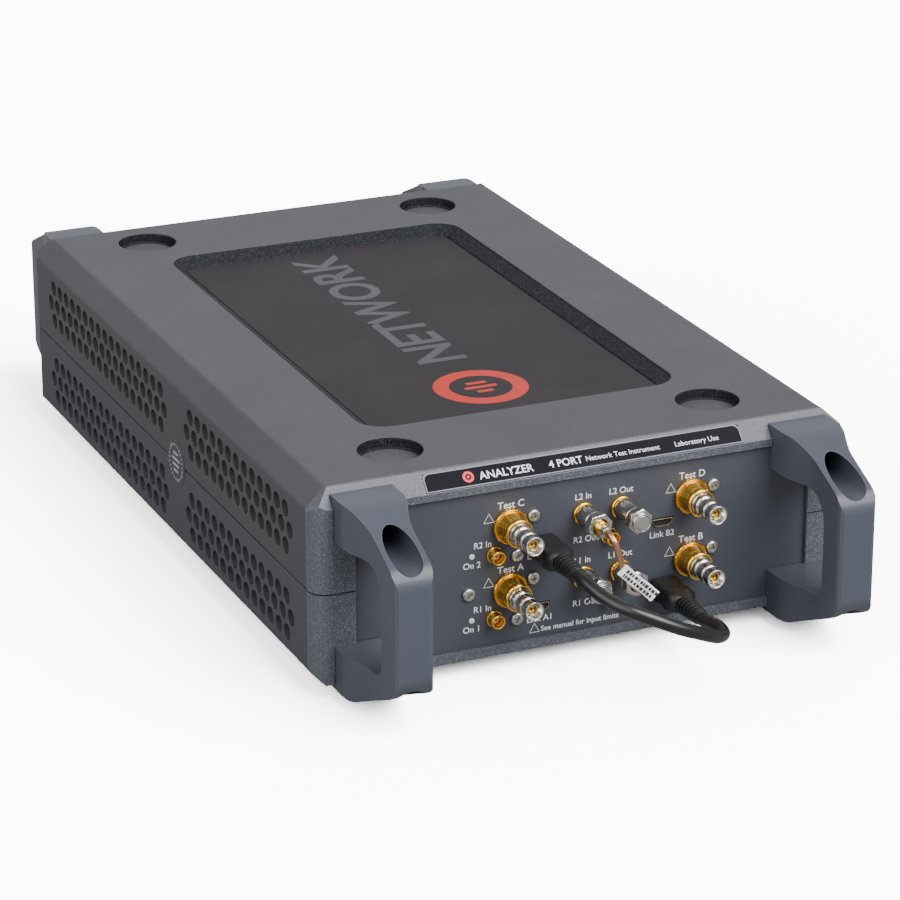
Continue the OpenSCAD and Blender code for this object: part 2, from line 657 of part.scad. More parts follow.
module power_board() color("#2f6b45") {
    box([-80, 62], [block_y + 184, y_rear - 14], [tray_z + 5, tray_z + 6.6]);
    for (x = [-70, -44]) box([x, x + 18], [block_y + 192, block_y + 212], [tray_z + 6.5, tray_z + 18]);
    for (x = [-10:14:46]) translate([x, block_y + 200, tray_z + 6.5]) cylinder(r = 5, h = 14);
}

// Fan frame with its axis along X, centred on y = 0 and z = 0.
module fan_frame() difference() {
    union() {
        difference() {
            translate([0, -fan_size / 2, -fan_size / 2]) cube([fan_t, fan_size, fan_size]);
            translate([-1, 0, 0]) rotate([0, 90, 0]) cylinder(r = fan_size / 2 - 2, h = fan_t + 2);
        }
        rotate([0, 90, 0]) cylinder(r = 9, h = 2.5);
        translate([0, 6, -1.5]) cube([2.2, fan_size / 2 - 7, 3]);
        translate([0, 1 - fan_size / 2, -1.5]) cube([2.2, fan_size / 2 - 7, 3]);
        translate([0, -1.5, 6]) cube([2.2, 3, fan_size / 2 - 7]);
        translate([0, -1.5, 1 - fan_size / 2]) cube([2.2, 3, fan_size / 2 - 7]);
    }
    translate([-1, 0, 0]) rotate([0, 90, 0]) cylinder(r = 1.55, h = 5);
}

module fan_frames() color("#222326") for (y = fan_y) translate([fan_x, y, z_mid]) fan_frame();

module fan_rotor() rotate([0, 90, 0]) {
    translate([0, 0, 3]) cylinder(r = 10.5, h = 10.5);
    translate([0, 0, 0.2]) cylinder(r = 1.5, h = 3);
    intersection() {
        translate([0, 0, 3.5]) cylinder(r = fan_size / 2 - 3, h = 9.5);
        for (k = [0:6]) rotate([0, 0, k * 360 / 7]) translate([9.5, 0, 8.2]) rotate([38, 0, 0])
            translate([0, -6.4, -0.6]) cube([20, 12.8, 1.2]);
    }
}

module fan_rotor_front() color("#2c2d31") translate([fan_x, fan_y[0], z_mid]) fan_rotor();
module fan_rotor_rear() color("#2c2d31") translate([fan_x, fan_y[1], z_mid]) fan_rotor();

module rear_jacks() color("#c9a04c") {
    for (x = [10, 26, 42]) on_rear(x, foot_h + 44) lo_jack();
    on_rear(-40, foot_h + 34) difference() {
        union() {
            translate([0, 0, -8]) cylinder(r = 6.2, h = 8 + eps);
            cylinder(r = 7.6, h = 2.2);
        }
        translate([0, 0, -6]) cylinder(r = 4.6, h = 10);
    }
    on_rear(-40, foot_h + 34) translate([0, 0, -7]) cylinder(r = 1, h = 7);
    on_rear(-16, foot_h + 34) difference() {
        translate([0, 0, -6]) linear_extrude(6.4) round_rect(8.94, 3.26, 1.6);
        translate([0, 0, -5.4]) linear_extrude(7) difference() {
            round_rect(8.34, 2.56, 1.27);
            square([6.7, 0.7], center = true);
        }
    }
}

module ground_post() color("silver") on_rear(56, foot_h + 30) {
    translate([0, 0, -4]) cylinder(r = 2, h = 14);
    translate([0, 0, eps]) cylinder(r = 4, h = 2.4, $fn = 6);
    translate([0, 0, 3.4]) cylinder(r = 4.4, h = 4);
}

cover_upper();
cover_lower();
bezel_front_upper();
bezel_front_lower();
bezel_rear_upper();
bezel_rear_lower();
front_panel();
rear_panel();
label_strip();
top_label();
seal_stickers();
handle_front_left();
handle_front_right();
handle_rear_left();
handle_rear_right();
handle_screws();
rubber_feet();
case_screws();
panel_screws();
port_1_flange();
port_2_flange();
port_3_flange();
port_4_flange();
port_1_barrel();
port_2_barrel();
port_3_barrel();
port_4_barrel();
port_contacts();
lo1_in_jack();
lo1_out_jack();
lo2_in_jack();
lo2_out_jack();
ref_jacks();
ctrl_sockets();
status_lights();
cap_nut_lo2_out();
cap_load_lo2_out();
cap_nut_lo1_in();
cap_load_lo1_in();
jumper_coax();
jumper_ferrules();
jumper_label();
jumper_nut_lo2_in();
jumper_nut_lo1_out();
control_cable();
control_plug_s2();
control_plug_m1();
chassis_tray();
front_board();
rf_block_lower();
rf_block_upper();
module_board_lower();
module_board_upper();
heat_sinks();
power_board();
fan_frames();
fan_rotor_front();
fan_rotor_rear();
rear_jacks();
ground_post();
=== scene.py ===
"""Visual model of a two-module vector network analyzer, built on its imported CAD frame."""

import logging
import math
import random
from collections.abc import Callable, Sequence
from dataclasses import dataclass
from enum import Enum

import bmesh
import bpy
from mathutils import Matrix, Vector


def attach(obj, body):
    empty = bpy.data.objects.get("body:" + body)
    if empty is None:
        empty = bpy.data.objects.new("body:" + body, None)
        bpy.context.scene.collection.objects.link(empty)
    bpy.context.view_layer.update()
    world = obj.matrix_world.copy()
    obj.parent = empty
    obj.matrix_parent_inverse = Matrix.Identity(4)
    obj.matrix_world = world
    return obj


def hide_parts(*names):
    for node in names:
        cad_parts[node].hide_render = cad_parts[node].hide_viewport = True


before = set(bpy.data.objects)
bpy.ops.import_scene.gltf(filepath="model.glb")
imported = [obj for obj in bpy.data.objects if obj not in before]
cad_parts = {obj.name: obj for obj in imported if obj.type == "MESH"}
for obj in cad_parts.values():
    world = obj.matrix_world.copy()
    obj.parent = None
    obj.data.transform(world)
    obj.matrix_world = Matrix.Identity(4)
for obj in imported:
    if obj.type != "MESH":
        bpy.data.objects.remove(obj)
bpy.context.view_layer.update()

LOG = logging.getLogger("analyzer")
MM = 0.001
FULL_TURN = 2 * math.pi
Point = tuple[float, float, float]
Flat = tuple[float, float]
Object = bpy.types.Object
Tree = bpy.types.NodeTree
Material = bpy.types.Material

# The case's main sizes in metres, as the CAD model has them.
HALF_W = 98 * MM
FOOT_H = 3 * MM
Z_MID = 38.5 * MM
Z_TOP = 74 * MM
Y_COVER = -139.5 * MM
Y_REAR = 142.5 * MM
Y_FACE = -146.5 * MM
Y_BACK = 146.5 * MM
Y_PANEL = -145 * MM
Y_PANEL_BACK = 145 * MM
ROW_Z = (29 * MM, 52 * MM)
PORT_X = (-28 * MM, 39 * MM)
LO_X = (-1 * MM, 13 * MM)
REF_X = (-33.5 * MM, 8.5 * MM)
CTRL_X = (-17 * MM, 28.6 * MM)
REF_DROP = 9.5 * MM
CTRL_DROP = 8.3 * MM
LIGHT_X = -41.5 * MM
LIGHT_DROP = 9.2 * MM
HANDLE_X = 80 * MM
WELL_V = 25 * MM
STACK_X = 59 * MM
STACK_Y = (-117.5 * MM, 124.5 * MM)
THIN_INK = 0.03 * MM


class Slot(Enum):
    """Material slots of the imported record."""

    COVER = "cover_paint"
    HANDLE = "handle_paint"
    PANEL = "panel_paint"
    STRIP = "strip_film"
    FILM = "label_film"
    STICKER = "sticker_film"
    BLACK_STEEL = "black_steel"
    STEEL = "plain_steel"
    POLISHED = "polished_steel"
    GOLD = "gold_plate"
    SHELL = "socket_shell"
    LENS = "light_lens"
    COAX = "copper_coax"
    FLAG = "flag_label"
    JACKET = "black_jacket"
    PLASTIC = "black_plastic"
    RUBBER = "foot_rubber"
    FAN = "fan_plastic"


class Body(Enum):
    """Moving bodies of the CAD frame."""

    CASE = "case"
    FAN_FRONT = "fan_front"
    FAN_REAR = "fan_rear"
    JUMPER = "jumper"
    NUT_TOP = "jumper_nut_top"
    NUT_BOTTOM = "jumper_nut_bottom"
    CAP_TOP = "cap_lo2_out"
    CAP_NUT_TOP = "cap_nut_lo2_out"
    CAP_BOTTOM = "cap_lo1_in"
    CAP_NUT_BOTTOM = "cap_nut_lo1_in"
    LEAD = "control_lead"


# ---- shared shader groups ----


def colour(hex_code: str) -> tuple[float, float, float, float]:
    """Turns an sRGB hex code into linear RGBA.

    Args:
        hex_code: Six hexadecimal digits.

    Returns:
        Linear red, green, blue and alpha.
    """
    parts = [int(hex_code[i : i + 2], 16) / 255 for i in (0, 2, 4)]
    linear = [c / 12.92 if c <= 0.04045 else ((c + 0.055) / 1.055) ** 2.4 for c in parts]
    return (linear[0], linear[1], linear[2], 1.0)


def new_group(
    name: str, inputs: Sequence[tuple[str, str, object]], outputs: Sequence[tuple[str, str]]
) -> tuple:
    """Makes an empty shader node group.

    Args:
        name: Name of the group.
        inputs: Name, socket type and default value of each input.
        outputs: Name and socket type of each output.

    Returns:
        The group, its input node and its output node.
    """
    tree = bpy.data.node_groups.new(name, "ShaderNodeTree")
    for label, kind, value in inputs:
        tree.interface.new_socket(label, in_out="INPUT", socket_type=kind).default_value = value
    for label, kind in outputs:
        tree.interface.new_socket(label, in_out="OUTPUT", socket_type=kind)
    return tree, tree.nodes.new("NodeGroupInput"), tree.nodes.new("NodeGroupOutput")


def feed(tree: Tree, socket: object, value: object) -> None:
    """Links a socket to an input, or sets its value."""
    if isinstance(value, bpy.types.NodeSocket):
        tree.links.new(value, socket)
    else:
        socket.default_value = value


def add_node(tree: Tree, kind: str, **values: object) -> bpy.types.Node:
    """Adds a node and links or sets its inputs.

    Args:
        tree: Tree to add to.
        kind: Type of the node.
        **values: Input names with spaces as underscores, each a socket or a value.

    Returns:
        The node.
    """
    made = tree.nodes.new(kind)
    for label, value in values.items():
        feed(tree, made.inputs[label.replace("_", " ")], value)
    return made


def math_node(tree: Tree, kind: str, *terms: object) -> object:
    """Adds a Math node.

    Args:
        tree: Tree to add to.
        kind: Operation of the node.
        *terms: Sockets or numbers, one for each input.

    Returns:
        The node's value socket.
    """
    made = tree.nodes.new("ShaderNodeMath")
    made.operation = kind
    for socket, value in zip(made.inputs, terms):
        feed(tree, socket, value)
    return made.outputs[0]


def mix_colour(tree: Tree, kind: str, factor: object, first: object, second: object) -> object:
    """Adds a colour Mix node.

    Args:
        tree: Tree to add to.
        kind: Blend mode.
        factor: Socket or number.
        first: Socket or colour that lies below.
        second: Socket or colour that is mixed in.

    Returns:
        The node's colour socket.
    """
    made = tree.nodes.new("ShaderNodeMix")
    made.data_type = "RGBA"
    made.blend_type = kind
    for index, value in ((0, factor), (6, first), (7, second)):
        feed(tree, made.inputs[index], value)
    return made.outputs[2]


def object_point(tree: Tree) -> object:
    """Adds object coordinates and returns their socket."""
    return tree.nodes.new("ShaderNodeTexCoord").outputs["Object"]


def noise(tree: Tree, point: object, scale: object, detail: float = 2.0, rough: float = 0.5) -> object:
    """Adds a noise texture and returns its value socket."""
    made = add_node(tree, "ShaderNodeTexNoise", Vector=point, Scale=scale, Detail=detail, Roughness=rough)
    return made.outputs["Fac"]


def ramp(tree: Tree, value: object, low: float, high: float, out: Flat = (0.0, 1.0)) -> object:
    """Adds a clamped Map Range node and returns its value socket."""
    ends = {"From_Min": low, "From_Max": high, "To_Min": out[0], "To_Max": out[1]}
    return add_node(tree, "ShaderNodeMapRange", Value=value, **ends).outputs["Result"]


def texture_group() -> Tree:
    """Makes the hammertone texture shared by all textured paints.

    Returns:
        A group with a height, a sparkle mask and a bumped normal.
    """
    tree, source, sink = new_group(
        "Hammertone",
        [
            ("Scale", "NodeSocketFloat", 900.0), ("Strength", "NodeSocketFloat", 0.25),
            ("Distance", "NodeSocketFloat", 0.0002)
        ],
        [("Height", "NodeSocketFloat"), ("Sparkle", "NodeSocketFloat"), ("Normal", "NodeSocketVector")],
    )
    point = object_point(tree)
    cells = add_node(tree, "ShaderNodeTexVoronoi", Vector=point, Scale=source.outputs["Scale"])
    cells.feature = "SMOOTH_F1"
    cells.inputs["Smoothness"].default_value = 0.6
    fine = noise(tree, point, math_node(tree, "MULTIPLY", source.outputs["Scale"], 1.7), 3.0, 0.6)
    height = math_node(
        tree, "MULTIPLY_ADD", cells.outputs["Distance"], 0.65, math_node(tree, "MULTIPLY", fine, 0.5)
    )
    tree.links.new(height, sink.inputs["Height"])
    tree.links.new(ramp(tree, fine, 0.56, 0.68), sink.inputs["Sparkle"])
    depth = {label: source.outputs[label] for label in ("Strength", "Distance")}
    bump = add_node(tree, "ShaderNodeBump", Height=height, **depth)
    tree.links.new(bump.outputs["Normal"], sink.inputs["Normal"])
    return tree


def wear_group() -> Tree:
    """Makes the edge wear mask shared by painted and metal parts.

    Returns:
        A group with one mask, 1 along sharp edges.
    """
    tree, source, sink = new_group(
        "EdgeWear",
        [("Radius", "NodeSocketFloat", 0.0004), ("Amount", "NodeSocketFloat", 0.5)],
        [("Mask", "NodeSocketFloat")],
    )
    point = object_point(tree)
    bevel = add_node(tree, "ShaderNodeBevel", Radius=source.outputs["Radius"])
    bevel.samples = 4
    plain = tree.nodes.new("ShaderNodeNewGeometry")
    dot = tree.nodes.new("ShaderNodeVectorMath")
    dot.operation = "DOT_PRODUCT"
    tree.links.new(bevel.outputs["Normal"], dot.inputs[0])
    tree.links.new(plain.outputs["Normal"], dot.inputs[1])
    edge = ramp(tree, math_node(tree, "SUBTRACT", 1.0, dot.outputs["Value"]), 0.02, 0.16)
    patches = ramp(tree, noise(tree, point, 140.0, 4.0, 0.6), 0.38, 0.62)
    worn = math_node(tree, "MULTIPLY", edge, math_node(tree, "MULTIPLY_ADD", patches, 0.7, 0.3))
    tree.links.new(math_node(tree, "MULTIPLY", worn, source.outputs["Amount"]), sink.inputs["Mask"])
    return tree


def dust_group() -> Tree:
    """Makes the soft mottling and upward-facing dust shared by all finishes.

    Returns:
        A group with a dust mask and a mottling value round 1.
    """
    tree, source, sink = new_group(
        "DustAndMottle",
        [("Dust", "NodeSocketFloat", 0.1), ("Mottle", "NodeSocketFloat", 0.1)],
        [("Dust", "NodeSocketFloat"), ("Mottle", "NodeSocketFloat")],
    )
    point = object_point(tree)
    up = tree.nodes.new("ShaderNodeSeparateXYZ")
    tree.links.new(tree.nodes.new("ShaderNodeNewGeometry").outputs["Normal"], up.inputs[0])
    cloud = noise(tree, point, 38.0, 5.0, 0.65)
    fall = math_node(tree, "MULTIPLY", ramp(tree, up.outputs["Z"], 0.2, 1.0), ramp(tree, cloud, 0.4, 0.75))
    tree.links.new(math_node(tree, "MULTIPLY", fall, source.outputs["Dust"]), sink.inputs["Dust"])
    wide = noise(tree, point, 14.0, 3.0, 0.5)
    swing = math_node(tree, "MULTIPLY", math_node(tree, "SUBTRACT", wide, 0.5), source.outputs["Mottle"])
    tree.links.new(math_node(tree, "ADD", swing, 1.0), sink.inputs["Mottle"])
    return tree


def lines_group() -> Tree:
    """Makes fine lines across one axis, for turned, brushed and moulded surfaces.

    Returns:
        A group with a value and a bumped normal.
    """
    tree, source, sink = new_group(
        "FineLines",
        [("Direction", "NodeSocketVector", (1.0, 40.0, 1.0)), ("Strength", "NodeSocketFloat", 0.1)],
        [("Value", "NodeSocketFloat"), ("Normal", "NodeSocketVector")],
    )
    stretch = tree.nodes.new("ShaderNodeVectorMath")
    stretch.operation = "MULTIPLY"
    tree.links.new(object_point(tree), stretch.inputs[0])
    tree.links.new(source.outputs["Direction"], stretch.inputs[1])
    value = noise(tree, stretch.outputs["Vector"], 90.0, 4.0, 0.7)
    tree.links.new(value, sink.inputs["Value"])
    bump = add_node(
        tree, "ShaderNodeBump", Distance=0.0001, Strength=source.outputs["Strength"], Height=value
    )
    tree.links.new(bump.outputs["Normal"], sink.inputs["Normal"])
    return tree


# ---- finishes ----


class Grain(Enum):
    """Surface texture of a finish."""

    NONE = "none"
    HAMMERTONE = "hammertone"
    LINES = "lines"


@dataclass(frozen=True)
class Finish:
    """One procedural finish.

    Attributes:
        name: Name of the material.
        base: sRGB colour as a hex code.
        rough: Roughness.
        metal: Metallic share.
        grain: Kind of surface texture.
        scale: Scale of the hammertone, or stretch of the lines along Y.
        strength: Strength of the bump.
        worn: sRGB colour of worn edges.
        wear: Amount of edge wear.
        dust: Amount of dust on upward faces.
        mottle: Strength of the wide mottling.
        sparkle: Brightness of flakes in the paint.
        coat: Weight of the clear coat.
        distance: Depth of the hammertone in metres.
        specular: Strength of the surface reflection.
    """

    name: str
    base: str
    rough: float = 0.5
    metal: float = 0.0
    grain: Grain = Grain.NONE
    scale: float = 900.0
    strength: float = 0.25
    worn: str = "9a9ca3"
    wear: float = 0.0
    dust: float = 0.0
    mottle: float = 0.1
    sparkle: float = 0.0
    coat: float = 0.0
    distance: float = 0.0002
    specular: float = 0.5

    def build(self, groups: dict[str, Tree]) -> Material:
        """Builds the material.

        Args:
            groups: The shared shader groups by name.

        Returns:
            The finished material.
        """
        material = bpy.data.materials.new(self.name)
        material.use_nodes = True
        tree = material.node_tree
        shader = tree.nodes["Principled BSDF"]
        shader.inputs["Metallic"].default_value = self.metal
        shader.inputs["Coat Weight"].default_value = self.coat
        shader.inputs["Specular IOR Level"].default_value = self.specular
        shader.inputs["Coat Roughness"].default_value = 0.12
        dust = self._group(tree, groups["dust"], {"Dust": self.dust, "Mottle": self.mottle})
        tint = mix_colour(tree, "MULTIPLY", 1.0, colour(self.base), dust.outputs["Mottle"])
        rough: object = ramp(
            tree, dust.outputs["Mottle"], 0.9, 1.1, (self.rough * 0.92, min(1.0, self.rough * 1.08))
        )
        if self.grain is Grain.HAMMERTONE:
            grain = self._group(
                tree, groups["texture"], {
                    "Scale": self.scale, "Strength": self.strength, "Distance": self.distance
                }
            )
            tree.links.new(grain.outputs["Normal"], shader.inputs["Normal"])
            flakes = math_node(tree, "MULTIPLY", grain.outputs["Sparkle"], self.sparkle)
            tint = mix_colour(tree, "MIX", flakes, tint, colour("b9bdc8"))
        if self.grain is Grain.LINES:
            lines = self._group(
                tree, groups["lines"], {"Direction": (1.0, self.scale, 1.0), "Strength": self.strength}
            )
            tree.links.new(lines.outputs["Normal"], shader.inputs["Normal"])
            rough = math_node(
                tree, "MULTIPLY", rough, ramp(tree, lines.outputs["Value"], 0.3, 0.7, (0.8, 1.25))
            )
        if self.wear > 0:
            wear = self._group(tree, groups["wear"], {"Radius": 0.0004, "Amount": self.wear})
            tint = mix_colour(tree, "MIX", wear.outputs["Mask"], tint, colour(self.worn))
        tint = mix_colour(tree, "MIX", dust.outputs["Dust"], tint, colour("a7a49e"))
        rough = math_node(tree, "MAXIMUM", rough, math_node(tree, "MULTIPLY", dust.outputs["Dust"], 0.9))
        tree.links.new(tint, shader.inputs["Base Color"])
        tree.links.new(rough, shader.inputs["Roughness"])
        return material

    @staticmethod
    def _group(tree: Tree, group: Tree, values: dict[str, object]) -> bpy.types.Node:
        """Adds a shared group with its inputs set.

        Args:
            tree: Material tree to add to.
            group: The shared group.
            values: Input values by name.

        Returns:
            The group node.
        """
        made = tree.nodes.new("ShaderNodeGroup")
        made.node_tree = group
        for label, value in values.items():
            made.inputs[label].default_value = value
        return made


FINISHES: dict[str, Finish] = {
    "cover": Finish(
        "CoverPaint", "404044", 0.62, grain=Grain.HAMMERTONE, scale=1500.0, strength=0.3, wear=0.25,
        dust=0.02, sparkle=0.05, specular=0.3
    ),
    "cover_low": Finish(
        "LowerCoverPaint", "3f4044", 0.62, grain=Grain.HAMMERTONE, scale=1500.0, strength=0.3, wear=0.25,
        dust=0.02, sparkle=0.05, specular=0.3
    ),
    "bezel": Finish(
        "BezelHammertone", "3d4048", 0.42, grain=Grain.HAMMERTONE, scale=2500.0, strength=0.5, wear=0.2,
        dust=0.03, sparkle=0.55
    ),
    # Recess walls: the cover paint made near-black, painted shade on the walls of the label recess and the
    # stacking sockets.
    "recess": Finish(
        "RecessWallPaintedShade", "121419", 0.55, grain=Grain.HAMMERTONE, scale=1900.0, strength=0.35, wear=0.03,
        dust=0.01, sparkle=0.16, specular=0.12
    ),
    "handle": Finish(
        "HandlePaint", "3f424c", 0.4, grain=Grain.HAMMERTONE, scale=2200.0, strength=0.06, wear=0.2,
        dust=0.02, coat=0.08, specular=0.35
    ),
    "panel": Finish(
        "PanelPaint", "373a43", 0.52, grain=Grain.HAMMERTONE, scale=2400.0, strength=0.05, dust=0.02,
        wear=0.1
    ),
    "strip": Finish("StripFilm", "14151a", 0.6, dust=0.02, specular=0.06),
    "strip_edge": Finish("StripEdge", "6c6f78", 0.4),
    "film": Finish(
        "LabelFilm", "272528", 0.6, grain=Grain.HAMMERTONE, scale=1700.0, strength=0.03, dust=0.015,
        mottle=0.015, specular=0.15
    ),
    "film_word": Finish("FilmWord", "44454a", 0.6, dust=0.04, specular=0.2),
    "film_mark": Finish("FilmMark", "a8281e", 0.5, dust=0.04, specular=0.3),
    "sticker": Finish("SealFoil", "3a3b40", 0.5, dust=0.02, specular=0.3),
    "sticker_ink": Finish("SealInk", "9a9ca2", 0.5, dust=0.02),
    "legend": Finish("LegendInk", "d5d7db", 0.55, mottle=0.02),
    "mark": Finish("StripMark", "cf3a2e", 0.5),
    "black_steel": Finish("BlackOxide", "17181b", 0.4, metal=0.6),
    "steel": Finish("ScrewNickel", "bdbbb6", 0.34, metal=1.0, mottle=0.06),
    "polished": Finish(
        "PolishedSteel", "c2c0bb", 0.22, metal=1.0, grain=Grain.LINES, scale=30.0, strength=0.05
    ),
    "gold": Finish("GoldPlate", "f2c04e", 0.24, metal=1.0, grain=Grain.LINES, scale=30.0, strength=0.05),
    "dark_bore": Finish("BoreShadow", "0c0c0e", 0.6),
    "dielectric": Finish("WhiteDielectric", "e6e2d8", 0.45),
    "shell": Finish("SocketShell", "b8ad97", 0.3, metal=1.0),
    "lens": Finish("LightLens", "c9cdbd", 0.2, coat=0.5),
    "coax": Finish("CopperCoax", "cf9a78", 0.3, metal=1.0),
    "flag": Finish("FlagPaper", "eeeeee", 0.6),
    "ink": Finish("FlagInk", "26262a", 0.6),
    "jacket": Finish("LeadJacket", "121214", 0.3, dust=0.02),
    "plastic": Finish(
        "MouldedBlack", "0d0d0f", 0.4, grain=Grain.HAMMERTONE, scale=2600.0, strength=0.08, dust=0.02
    ),
    "rubber": Finish("FootRubber", "1a1a1c", 0.75, dust=0.1),
    "aluminium": Finish(
        "MilledAluminium", "a9acb0", 0.35, metal=1.0, grain=Grain.LINES, scale=6.0, strength=0.1, dust=0.05
    ),
    "board": Finish("SolderMask", "1f5a38", 0.35, dust=0.05, coat=0.3),
    "chip": Finish("ChipBlack", "1b1c1f", 0.5, dust=0.03),
    "fan": Finish("FanPlastic", "1d1e21", 0.5, dust=0.1),
}


# ---- mesh tools ----


def link(obj: Object) -> Object:
    """Links an object to the scene unless it is there, and returns it."""
    if obj.name not in bpy.context.scene.collection.objects:
        bpy.context.scene.collection.objects.link(obj)
    return obj


def place(obj: Object, materials: Sequence[Material], angle: float = 38.0) -> Object:
    """Links an object, gives it its materials and smooths its soft edges.

    Args:
        obj: The object, its place in its mesh.
        materials: Materials in slot order.
        angle: Edges sharper than this many degrees stay sharp.

    Returns:
        The same object.
    """
    link(obj)
    obj.data.materials.clear()
    for material in materials:
        obj.data.materials.append(material)
    obj.data.shade_smooth()
    obj.data.set_sharp_from_angle(angle=math.radians(angle))
    return obj


def from_bmesh(name: str, mesh: bmesh.types.BMesh, at: Matrix | None = None, outward: bool = True) -> Object:
    """Turns a bmesh into an object with its place in its mesh.

    Args:
        name: Name of the object.
        mesh: The bmesh, which is freed.
        at: Where to put it.
        outward: Whether to turn all faces outwards.

    Returns:
        The object, not linked yet.
    """
    if outward:
        bmesh.ops.recalc_face_normals(mesh, faces=mesh.faces)
    if at is not None:
        mesh.transform(at)
    data = bpy.data.meshes.new(name)
    mesh.to_mesh(data)
    mesh.free()
    return bpy.data.objects.new(name, data)


def join(name: str, parts: Sequence[Object]) -> Object:
    """Joins objects that have no modifiers into one, keeping their materials.

    Args:
        name: Name of the joined object.
        parts: The objects, which are removed.

    Returns:
        The joined object, linked.
    """
    mesh = bmesh.new()
    materials: list[Material] = []
    for part in parts:
        table = []
        for material in part.data.materials:
            if material not in materials:
                materials.append(material)
            table.append(materials.index(material))
        known = len(mesh.faces)
        mesh.from_mesh(part.data)
        mesh.faces.ensure_lookup_table()
        for face in mesh.faces[known:]:
            face.material_index = table[face.material_index] if table else 0
        drop(part)
    data = bpy.data.meshes.new(name)
    mesh.to_mesh(data)
    mesh.free()
    for material in materials:
        data.materials.append(material)
    obj = bpy.data.objects.new(name, data)
    link(obj)
    return obj


def drop(obj: Object) -> None:
    """Removes an object and its data."""
    data = obj.data
    bpy.data.objects.remove(obj)
    if isinstance(data, bpy.types.Mesh):
        bpy.data.meshes.remove(data)
    elif isinstance(data, bpy.types.Curve):
        bpy.data.curves.remove(data)


def plain_copy(obj: Object, name: str) -> Object:
    """Evaluates an object with its modifiers into a plain mesh object and removes the original.

    Args:
        obj: A linked object.
        name: Name of the plain object.

    Returns:
        The plain object, not linked yet.
    """
    depsgraph = bpy.context.evaluated_depsgraph_get()
    data = bpy.data.meshes.new_from_object(obj.evaluated_get(depsgraph), depsgraph=depsgraph)
    data.name = name
    drop(obj)
    return bpy.data.objects.new(name, data)


def carve(body: Object, tools: Sequence[Object], name: str, first: str = "DIFFERENCE") -> Object:
    """Cuts tools out of a body. All of them are removed.

    Args:
        body: What is cut.
        tools: What cuts it, in order.
        name: Name of the result.
        first: What the first tool does.

    Returns:
        The plain result, not linked yet.
    """
    for index, tool in enumerate(tools):
        modifier = link(body).modifiers.new("cut%d" % index, "BOOLEAN")
        modifier.object = link(tool)
        modifier.solver = "MANIFOLD"
        modifier.operation = "DIFFERENCE" if index else first
    made = plain_copy(body, name)
    for tool in tools:
        drop(tool)
    return made


def extrude(name: str, outline: Sequence[Flat], low: float, high: float, at: Matrix | None = None) -> Object:
    """Extrudes a flat outline along its local Z.

    Args:
        name: Name of the object.
        outline: Corner points.
        low: Lower end.
        high: Upper end.
        at: Where to put it.

    Returns:
        The object, not linked yet.
    """
    return loft(name, [[(x, y, low) for x, y in outline], [(x, y, high) for x, y in outline]], at)


def loft(
    name: str, rings: Sequence[Sequence[Point]], at: Matrix | None = None, closed: bool = False
) -> Object:
    """Joins rings of the same number of points with side walls and closes the ends.

    Args:
        name: Name of the object.
        rings: The rings from one end to the other.
        at: Where to put it.
        closed: Whether the last ring joins the first instead of both being capped.

    Returns:
        The object, not linked yet.
    """
    mesh = bmesh.new()
    rows = [[mesh.verts.new(point) for point in ring] for ring in rings]
    count = len(rings[0])
    pairs = list(zip(rows, rows[1:] + rows[:1])) if closed else list(zip(rows, rows[1:]))
    for first, second in pairs:
        for i in range(count):
            j = (i + 1) % count
            mesh.faces.new((first[i], first[j], second[j], second[i]))
    if not closed:
        mesh.faces.new(rows[0][::-1])
        mesh.faces.new(rows[-1])
    return from_bmesh(name, mesh, at)


def softened(profile: Sequence[Flat], size: float) -> list[Flat]:
    """Cuts the corners of a turned profile.

    Args:
        profile: Radius and height pairs.
        size: Size of the cut, at most a third of the shorter side at a corner.

    Returns:
        The longer profile.
    """
    out: list[Flat] = [profile[0]]
    for before, here, after in zip(profile, profile[1:], profile[2:]):
        a = Vector(before) - Vector(here)
        b = Vector(after) - Vector(here)
        cut = min(size, a.length / 3, b.length / 3)
        if cut < 1e-7 or abs(a.angle(b) - math.pi) < 0.3:
            out.append(here)
            continue
        first = Vector(here) + a.normalized() * cut
        last = Vector(here) + b.normalized() * cut
        middle = (first + last) / 2 * 0.6 + Vector(here) * 0.4
        out += [tuple(first), tuple(middle), tuple(last)]
    out.append(profile[-1])
    return out


def lathe(
    name: str, profile_mm: Sequence[Flat], at: Matrix, sides: int = 64, soft_mm: float = 0.1
) -> Object:
    """Turns a profile round its local Z.

    Args:
        name: Name of the object.
        profile_mm: Radius and height pairs in millimetres, from one end of the axis to the other.
        at: Where to put it.
        sides: Number of sides.
        soft_mm: Size of the corner cuts.

    Returns:
        The object, not linked yet.
    """
    profile = softened([(r * MM, z * MM) for r, z in profile_mm], soft_mm * MM)
    mesh = bmesh.new()
    rows: list[list[bmesh.types.BMVert]] = []
    for radius, height in profile:
        if radius < 1e-7:
            rows.append([mesh.verts.new((0, 0, height))])
            continue
        turns = [FULL_TURN * k / sides for k in range(sides)]
        rows.append([mesh.verts.new((radius * math.cos(t), radius * math.sin(t), height)) for t in turns])
    closed = len(rows[0]) > 1 and len(rows[-1]) > 1
    pairs = list(zip(rows, rows[1:] + rows[:1])) if closed else list(zip(rows, rows[1:]))
    for first, second in pairs:
        for i in range(sides):
            j = (i + 1) % sides
            corners = [
                first[i % len(first)], first[j % len(first)], second[j % len(second)],
                second[i % len(second)]
            ]
            unique = list(dict.fromkeys(corners))
            if len(unique) > 2:
                mesh.faces.new(unique)
    return from_bmesh(name, mesh, at)


